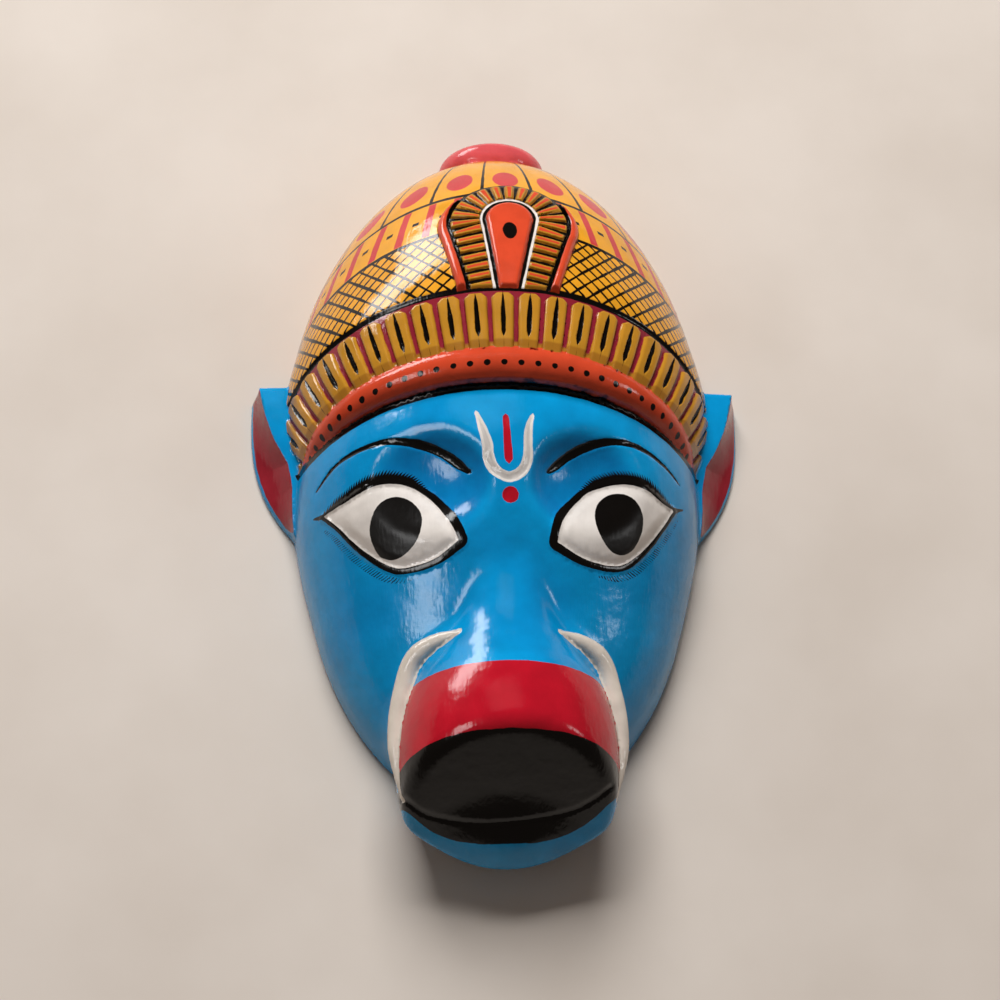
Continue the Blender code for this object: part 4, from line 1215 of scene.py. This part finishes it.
def paint_tongues(brush, colours):
    """Row of gold tongues in a crimson groove, each with a black slit."""
    add, lay = brush.add, brush.lay
    row = (add("Math", "tier", -1.0, operation="MULTIPLY"), "crown")
    lay(opaque(colours.crimson), *row)
    up = add("Math", "tongue_share", TONGUE_LENGTH / MM, operation="MULTIPLY")
    tongue, away = brush.repeat("tongue_count", 1.0, 0.0, TONGUE_PAINT_MM, TONGUE_PITCH / MM)
    shoulder = add("Math", TONGUE_TIP_MM + TONGUE_PAINT_MM * TONGUE_SHOULDER,
                   add("Math", up, away, operation="ADD"), operation="SUBTRACT")
    tip = add("Math", TONGUE_TIP_MM, up, operation="SUBTRACT")
    lay(opaque(colours.gold), tongue, shoulder, tip, *row)
    shade = add("Math", TONGUE_SHADE_MM, up, operation="SUBTRACT")
    lay(opaque(colours.gold_shade), shade, *row, soft=0.6)
    along = add("MapRange", "tongue_share", SLIT_FOOT, SLIT_TOP, 0.0, 1.0)
    tapered = add("Math", along, SLIT_TAPER, operation="POWER")
    wide = add("Math", tapered, -SLIT_HALF_MM, SLIT_HALF_MM, operation="MULTIPLY_ADD")
    ends = add("Math", along, add("Math", 1.0, along, operation="SUBTRACT"), operation="MINIMUM")
    ends = add("Math", ends, SLIT_END_MM, operation="MULTIPLY")
    slit = [add("Math", side, away, operation="SUBTRACT") for side in (wide, ends)]
    lay(opaque(colours.black), *slit, *row)
    lay(opaque(colours.black), brush.line("tier", TIER_LINE_HALF_MM), "crown")


def paint_crest(brush, colours):
    """Crest: gold ribs with red hearts on black, an orange border and a drop ringed in white."""
    add, lay, line = brush.add, brush.lay, brush.line
    tier = add("Math", "tier", 0.2, operation="SUBTRACT")
    lay(opaque(colours.orange), "border", add("Math", "crest", -1.0, operation="MULTIPLY"), tier)
    lay(opaque(colours.black), "crest", tier)
    rib, _ = brush.repeat("rib_share", 1.0 / RIBS, 0.5 / RIBS, RIB_HALF_MM, RIB_ROUND_MM)
    outside_drop = add("Math", "drop", -1.0, operation="MULTIPLY")
    bed = (add("Math", outside_drop, RING_REACH_MM, operation="SUBTRACT"),
           add("Math", "crest", CREST_LINE_REACH_MM, operation="SUBTRACT"), tier)
    lay(opaque(colours.gold), rib, *bed)
    heart = [add("Math", side, HEART_END_MM, operation="SUBTRACT") for side in bed]
    lay(opaque(colours.orange), add("Math", rib, HEART_INSET_MM, operation="SUBTRACT"), *heart)
    lay(opaque(colours.black), line("crest", CREST_LINE_HALF_MM), tier)
    ring = line(add("Math", "drop", RING_MIDDLE_MM, operation="ADD"), RING_HALF_MM)
    lay(opaque(colours.white), ring, "crest", tier)
    lay(opaque(colours.orange), "drop", tier)
    dot = add("VectorMath", add("TexCoord", output="Object"), DROP_DOT, operation="SUBTRACT")
    dot = add("VectorMath", dot, DROP_DOT_SHAPE, operation="MULTIPLY")
    dot = add("VectorMath", dot, operation="LENGTH", output="Value")
    dot = add("Math", DROP_DOT_RADIUS, dot, operation="SUBTRACT")
    lay(opaque(colours.black), add("Math", dot, 1.0 / MM, operation="MULTIPLY"), "drop")


def paint_headband(brush, colours):
    """Orange headband with its row of black dots, and the black seam under it."""
    add, lay = brush.add, brush.lay
    below = add("Math", "roll_middle", -2.0, operation="MULTIPLY")
    lay(opaque(colours.black), add("Math", "roll", SEAM_WIDTH / MM, operation="ADD"), below)
    band = (add("Math", "roll", BAND_SPILL_MM, operation="ADD"),
            add("Math", BAND_GAP_MM, "flutes", operation="SUBTRACT"))
    lay(opaque(colours.orange), *band)
    _, away = brush.repeat("turn", DOT_PERIOD, TONGUE_MIDDLE, 0.0, DEGREE_MM)
    low = add("Math", "roll_middle", DOT_DROP_MM, operation="ADD")
    low = add("Math", low, DOT_SQUASH, operation="MULTIPLY")
    reach = add("VectorMath", add("CombineXYZ", away, low, 0.0), operation="LENGTH", output="Value")
    lay(opaque(colours.black), add("Math", DOT_RADIUS_MM, reach, operation="SUBTRACT"), *band)


def paint_face(brush, colours):
    """Ears, snout, tusks, mark, brows and eyes. Returns the cover of the pupils."""
    add, lay, line = brush.add, brush.lay, brush.line
    black, white, red = opaque(colours.black), opaque(colours.white), opaque(colours.red)
    for name, paint in (("ear_red", opaque(colours.ear_red)), ("snout_red", red), ("snout_black", black),
                        ("tusk", opaque(colours.ivory))):
        lay(paint, name)
    mark = line("mark", "mark_half")
    lay(white, mark)
    # Grey down the middle of the white mark: painted shade in its carved groove.
    lay(opaque(colours.mark_groove_shade), add("Math", mark, 1.1, operation="SUBTRACT"), soft=0.3)
    lay(red, line("mark_stroke", "mark_stroke_half"))
    lay(red, "mark_dot")
    for name in ("brow", "left_flick", "right_flick"):
        lay(black, line(name, name + "_half"))
    # Lashes: a dense fringe over the outer half of the upper lid, fine hairs under the lower one.
    along = add("Math", "eye", LASH_PITCH_MM, "lash_along", operation="MULTIPLY_ADD")
    hair = add("Math", along, LASH_PITCH_MM, operation="PINGPONG")
    lay(black, add("Math", hair, -LASH_DEPTH, "lash", operation="MULTIPLY_ADD"), soft=0.3)
    lay(black, add("Math", LASH_HALF_MM, hair, operation="SUBTRACT"), "under_lash", soft=0.1)
    lay(black, "lid")
    lay(white, "eye")
    return lay(black, "pupil", "eye")


def wood_grain(tree, colours):
    """Colour of bare softwood and its grain: rings cut lengthwise, in streaks about 3 mm apart."""
    add = partial(node, tree)
    drawn = add("VectorMath", add("TexCoord", output="Object"), (1.0, 0.06, 1.0), operation="MULTIPLY")
    grain = add("TexNoise", sockets={"Vector": drawn, "Scale": 330.0, "Detail": 4.0})
    depth = add("MapRange", grain, 0.35, 0.70, 0.74, 1.10)
    return add("HueSaturation", sockets={"Value": depth, "Color": opaque(colours.wood)}), grain


def bare_softwood(colours):
    """Light softwood as the gouge left it: matt, with the grain running the length of the mask."""
    material = bpy.data.materials.new("bare_carved_softwood")
    material.use_nodes = True
    tree = material.node_tree
    shader = tree.nodes["Principled BSDF"]
    colour, grain = wood_grain(tree, colours)
    tree.links.new(colour, shader.inputs["Base Color"])
    shader.inputs["Roughness"].default_value = BARE_ROUGHNESS
    bump = node(tree, "Bump", sockets={"Height": grain, "Strength": 0.4, "Distance": 0.0004})
    tree.links.new(bump, shader.inputs["Normal"])
    return material


def enamel_paint(colours):
    """Hand-brushed enamel over carved wood: glossy, with brush marks and slightly uneven edges."""
    material = bpy.data.materials.new("hand_brushed_enamel")
    material.use_nodes = True
    tree = material.node_tree
    add = partial(node, tree)
    shader = tree.nodes["Principled BSDF"]
    place = add("TexCoord", output="Object")
    edge_noise = add("TexNoise", sockets={"Vector": place, "Scale": 170.0, "Detail": 2.0})
    wobble = add("Math", add("Math", edge_noise, 0.5, operation="SUBTRACT"), 0.7, operation="MULTIPLY")
    # The blue lies deeper in broad random patches; the eye sockets get a deeper blue, partly the paint's
    # own and partly painted shade of the hollow.
    broad = add("TexNoise", sockets={"Vector": place, "Scale": 24.0, "Detail": 3.0})
    deep = add("MapRange", broad, 0.42, 0.70, 0.0, 0.8)
    blue = add("Mix", sockets={0: deep, 6: opaque(colours.blue), 7: opaque(colours.deep_blue)}, output=2,
               data_type="RGBA")
    brush = Brush(tree, blue, wobble)
    # Deeper blue over the eye sockets: partly their paint, partly painted shade of the recess.
    brush.lay(opaque(colours.socket_blue_and_shade), "socket", soft=1.4)
    paint_crown(brush, colours)
    paint_tongues(brush, colours)
    brush.lay(opaque(colours.knob), "knob")
    paint_crest(brush, colours)
    paint_headband(brush, colours)
    pupils = paint_face(brush, colours)
    bare = brush.lay(wood_grain(tree, colours)[0], "bare_wood", soft=0.3)
    # Brushed paint varies a little in depth of colour.
    blotch = add("TexNoise", sockets={"Vector": place, "Scale": 90.0, "Detail": 4.0})
    depth = add("MapRange", blotch, 0.30, 0.75, 0.86, 1.06)
    toned = add("HueSaturation", sockets={"Value": depth, "Color": brush.colour})
    tree.links.new(toned, shader.inputs["Base Color"])
    rough = add("MapRange", blotch, 0.30, 0.75, 0.11, 0.20)
    rough = add("Mix", sockets={0: pupils, 2: rough, 3: 0.35}, data_type="FLOAT")
    rough = add("Mix", sockets={0: bare, 2: rough, 3: BARE_ROUGHNESS}, data_type="FLOAT")
    tree.links.new(rough, shader.inputs["Roughness"])
    shader.inputs["IOR"].default_value = 1.36
    # Waves about 8 mm across that the carving leaves under the paint, and brush hairs 1 mm apart.
    waves = add("TexNoise", sockets={"Vector": place, "Scale": 120.0, "Detail": 2.0})
    bump = add("Bump", sockets={"Height": waves, "Strength": 0.35, "Distance": 0.0008})
    drawn = add("VectorMath", place, (1.0, 0.16, 0.5), operation="MULTIPLY")
    hairs = add("TexNoise", sockets={"Vector": drawn, "Scale": 900.0, "Detail": 2.0})
    bump = add("Bump", sockets={"Height": hairs, "Strength": 0.30, "Distance": 0.00025, "Normal": bump})
    tree.links.new(bump, shader.inputs["Normal"])
    return material


def plaster_floor(stage):
    """Pale lime plaster, smoothed by hand: matt, with faint mottling."""
    material = bpy.data.materials.new("pale_lime_plaster")
    material.use_nodes = True
    tree = material.node_tree
    add = partial(node, tree)
    shader = tree.nodes["Principled BSDF"]
    place = add("TexCoord", output="Object")
    mottle = add("TexNoise", sockets={"Vector": place, "Scale": 9.0, "Detail": 5.0})
    share = add("MapRange", mottle, 0.35, 0.70)
    mixed = {0: share, 6: opaque(stage.floor_colour), 7: opaque(stage.floor_shade)}
    colour = add("Mix", sockets=mixed, output=2, data_type="RGBA")
    tree.links.new(colour, shader.inputs["Base Color"])
    shader.inputs["Roughness"].default_value = 0.85
    bump = add("Bump", sockets={"Height": mottle, "Strength": 0.15, "Distance": 0.002})
    tree.links.new(bump, shader.inputs["Normal"])
    return material


def length_property(name, description, default_mm):
    """Length property of the carving, given in millimetres."""
    return FloatProperty(name=name, description=description, default=default_mm * MM, min=0.0, max=0.2,
                         subtype="DISTANCE", unit="LENGTH", precision=5)


def power_property(name, description, default):
    """Power of a light."""
    return FloatProperty(name=name, description=description, default=default, min=0.0, max=5000.0,
                         unit="POWER")


def colour_property(name, description, code):
    """Colour property, given as an sRGB hex code."""
    return FloatVectorProperty(name=name, description=description, default=linear(code), size=3,
                               subtype="COLOR", min=0.0, max=1.0)


class MaskCarving(bpy.types.PropertyGroup):
    """Sizes of the low relief and of the mesh."""

    grid_size: length_property("Grid size", "Cell of the grid that the block is first wrapped on", 2.5)
    coarse_size: length_property("Coarse edge", "Longest edge on plain surfaces", 4.2)
    middle_size: length_property("Middle edge", "Longest edge on lids, brows, tusks and roll", 1.75)
    fine_size: length_property("Fine edge", "Longest edge on the tongues and the crest", 1.05)
    hollow_size: length_property("Hollow edge", "Longest edge in the hollow back", 5.0)
    tongue_share: FloatProperty(name="Tongue share", description="Width of a tongue, of its pitch",
                                default=0.84, min=0.3, max=0.95, subtype="FACTOR")
    tongue_gap: length_property("Tongue gap", "Field left between a tongue's tip and the tier's edge", 2.2)
    tongue_proud: length_property("Tongue height", "Height of a tongue above the crown", 1.7)
    tongue_rounding: length_property("Tongue rounding", "Radius of a tongue's edge", 1.5)
    slit_width: length_property("Slit width", "Widest part of the slit in a tongue", 2.4)
    slit_depth: length_property("Slit depth", "Depth of the slit in a tongue", 1.2)
    tier_edge: length_property("Tier edge", "Step from the crown down to the row of tongues", 1.3)
    crest_half_width: length_property("Crest half width", "Half width of the crest at its black line", 26.0)
    crest_rise: length_property("Crest rise", "Rise of the crest's round top", 23.5)
    crest_foot: length_property("Crest foot", "Half width of the crest at its foot", 16.3)
    crest_border: length_property("Crest border", "Width of the crest's border", 4.4)
    crest_border_proud: length_property("Border height", "Height of the crest's border", 2.4)
    crest_field: length_property("Crest field", "Height of the crest's field", 0.6)
    crest_ribs: IntProperty(name="Ribs", description="Number of ribs round the drop", default=RIBS,
                            min=5, max=60)
    rib_proud: length_property("Rib height", "Height of a rib above the crest's field", 1.3)
    drop_proud: length_property("Drop height", "Height of the crest's drop", 2.4)
    eye_bulge: length_property("Eye bulge", "How far an eye swells out of its socket", 2.0)
    lid_proud: length_property("Lid height", "Height of the line round an eye", 0.45)
    brow_depth: length_property("Brow depth", "Depth of a brow line", 0.5)
    mark_depth: length_property("Mark depth", "Depth of the mark carved in the forehead", 0.5)
    mouth_depth: length_property("Mouth depth", "Depth of the mouth line", 0.6)
    mouth_width: length_property("Mouth width", "Width of the mouth line", 3.0)


class MaskColours(bpy.types.PropertyGroup):
    """Colours of the paint and the wood; the deeper socket blue and the grey in the mark carry painted
    shade too.
    """

    blue: colour_property("Blue", "Enamel of the face", "#0098D6")
    deep_blue: colour_property("Deep blue", "Where the blue lies thicker", "#0088C8")
    # Partly the sockets' own blue, partly painted shade of the recess.
    socket_blue_and_shade: colour_property("Socket blue", "Blue of the eye sockets", "#0064AA")
    yellow: colour_property("Yellow", "Enamel of the crown", "#E8A024")
    gold: colour_property("Gold", "Enamel of the tongues and ribs", "#BE8526")
    gold_shade: colour_property("Gold shade", "Feet of the tongues", "#A36C20")
    orange: colour_property("Orange red", "Enamel of the headband, border and drop", "#D5492A")
    knob: colour_property("Knob", "Enamel of the knob", "#D9555A")
    rose: colour_property("Rose", "Ovals and bars on the crown", "#C9383C")
    crimson: colour_property("Crimson", "Grooves between the tongues", "#8A2030")
    red: colour_property("Red", "Top of the snout and the small red mark", "#BC1226")
    ear_red: colour_property("Ear red", "Scooped side of the ears", "#98222F")
    white: colour_property("White", "Eyes and the mark on the forehead", "#E4DDD6")
    # Painted shade in the carved groove of the mark.
    mark_groove_shade: colour_property("Mark grey", "Middle of the mark on the forehead", "#C9C3BE")
    ivory: colour_property("Ivory", "Tusks", "#D9CEC1")
    black: colour_property("Black", "Muzzle, pupils and lines", "#070504")
    wood: colour_property("Bare wood", "Light wood of the hollow back", "#A87C50")


class MaskStage(bpy.types.PropertyGroup):
    """Floor and light."""

    floor_colour: colour_property("Floor", "Plaster floor", "#DCD2C8")
    floor_shade: colour_property("Floor shade", "Darker patches of the plaster", "#D2C7BC")
    key_power: power_property("Key power", "Soft light from above the crown", 53.0)
    window_power: power_property("Window power", "Wide low window beyond the crown's left", 30.0)
    side_power: power_property("Side power", "Small window on the left", 13.0)
    fill_power: power_property("Fill power", "Small window on the right", 4.0)
    sky_colour: colour_property("Sky colour", "Colour of the even light", "#FFE9D8")
    sky_strength: FloatProperty(name="Sky strength", description="Strength of the even light", default=0.13,
                                min=0.0, max=10.0)


class MASK_OT_carve(bpy.types.Operator):
    """Carve and paint the wooden mask, as one piece that stands for the solid"""

    bl_idname = "mask.carve"
    bl_label = "Carve Mask"

    def execute(self, context):
        settings = context.scene.mask_carving
        points, triangles, outward = carve(settings)
        maps = paint_maps(points, settings)
        points = points - np.array([0.0, -FOOTPRINT_SHIFT, 0.0])
        piece = build_mesh(PIECE, points, triangles, outward, maps)
        piece.data.materials.append(enamel_paint(context.scene.mask_colours))
        piece.data.materials.append(bare_softwood(context.scene.mask_colours))
        bare = np.all(maps["bare_wood"][triangles] > BARE_MM, axis=1)
        piece.data.polygons.foreach_set("material_index", bare.astype(np.int32))
        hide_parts("mask")
        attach(piece, "root")
        return {"FINISHED"}


class MASK_OT_stage(bpy.types.Operator):
    """Lay the pale floor and set up the soft window light and the camera"""

    bl_idname = "mask.stage"
    bl_label = "Set Stage"

    def execute(self, context):
        stage = context.scene.mask_stage
        bpy.ops.mesh.primitive_grid_add(x_subdivisions=8, y_subdivisions=8, size=6.0)
        floor = context.object
        floor.name = "plaster_floor"
        floor.data.materials.append(plaster_floor(stage))
        for light in WINDOWS:
            add_window(context, *light, getattr(stage, light[0] + "_power"))
        world = bpy.data.worlds.new("even_light")
        world.use_nodes = True
        background = world.node_tree.nodes["Background"]
        background.inputs["Color"].default_value = opaque(stage.sky_colour)
        background.inputs["Strength"].default_value = stage.sky_strength
        context.scene.world = world
        context.scene.view_settings.view_transform = "Standard"
        make_camera(context)
        return {"FINISHED"}


def add_window(context, name, place, aim, size, mirrored_only, power):
    """Soft rectangular light that faces a point."""
    data = bpy.data.lights.new(name, "AREA")
    data.shape = "RECTANGLE"
    data.size, data.size_y = size
    data.energy = power
    lamp = bpy.data.objects.new(name, data)
    back = (Vector(place) - Vector(aim)).normalized()
    across = Vector((0.0, 0.0, 1.0)).cross(back).normalized()
    turn = Matrix((across, back.cross(across), back)).transposed().to_4x4()
    lamp.matrix_world = Matrix.Translation(place) @ turn
    lamp.visible_diffuse = not mirrored_only
    lamp.visible_glossy = mirrored_only
    context.scene.collection.objects.link(lamp)


def make_camera(context):
    """Camera at the photograph's viewing angle."""
    data = bpy.data.cameras.new("camera")
    data.sensor_width = 36.0
    data.lens = 36.0 / (2.0 * math.tan(CAMERA_VIEW / 2.0))
    data.clip_start = 0.01
    camera = bpy.data.objects.new("camera", data)
    back = Vector((-math.sin(CAMERA_SIDE), -math.sin(CAMERA_TILT) * math.cos(CAMERA_SIDE),
                   math.cos(CAMERA_TILT) * math.cos(CAMERA_SIDE)))
    right = Vector((0.0, 1.0, 0.0)).cross(back).normalized()
    up = back.cross(right)
    turn = Matrix((right, up, back)).transposed().to_4x4()
    place = Matrix.Translation(Vector(CAMERA_TARGET) + back * CAMERA_DISTANCE)
    camera.matrix_world = place @ turn @ Matrix.Rotation(CAMERA_ROLL, 4, "Z")
    context.scene.collection.objects.link(camera)
    context.scene.camera = camera


class MASK_PT_panel(bpy.types.Panel):
    """Sidebar panel with the mask's steps and settings"""

    bl_label = "Painted Boar Mask"
    bl_idname = "MASK_PT_panel"
    bl_space_type = "VIEW_3D"
    bl_region_type = "UI"
    bl_category = "Mask"

    def draw(self, context):
        layout = self.layout
        for operator in OPERATORS:
            layout.operator(operator.bl_idname)
        for group, owner in GROUPS:
            box = layout.box()
            for key in owner.__annotations__:
                box.prop(getattr(context.scene, group), key)


OPERATORS = (MASK_OT_carve, MASK_OT_stage)
GROUPS = (("mask_carving", MaskCarving), ("mask_colours", MaskColours), ("mask_stage", MaskStage))
CLASSES = (MaskCarving, MaskColours, MaskStage) + OPERATORS + (MASK_PT_panel,)


def register():
    """Register the classes and hang the settings on the scene."""
    for cls in CLASSES:
        bpy.utils.register_class(cls)
    bpy.types.Scene.mask_carving = PointerProperty(type=MaskCarving)
    bpy.types.Scene.mask_colours = PointerProperty(type=MaskColours)
    bpy.types.Scene.mask_stage = PointerProperty(type=MaskStage)


def unregister():
    """Take the settings and the classes away again."""
    del bpy.types.Scene.mask_stage
    del bpy.types.Scene.mask_colours
    del bpy.types.Scene.mask_carving
    for cls in reversed(CLASSES):
        bpy.utils.unregister_class(cls)


def main():
    """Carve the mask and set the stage."""
    register()
    bpy.ops.mask.carve()
    bpy.ops.mask.stage()


if __name__ == "__main__":
    main()
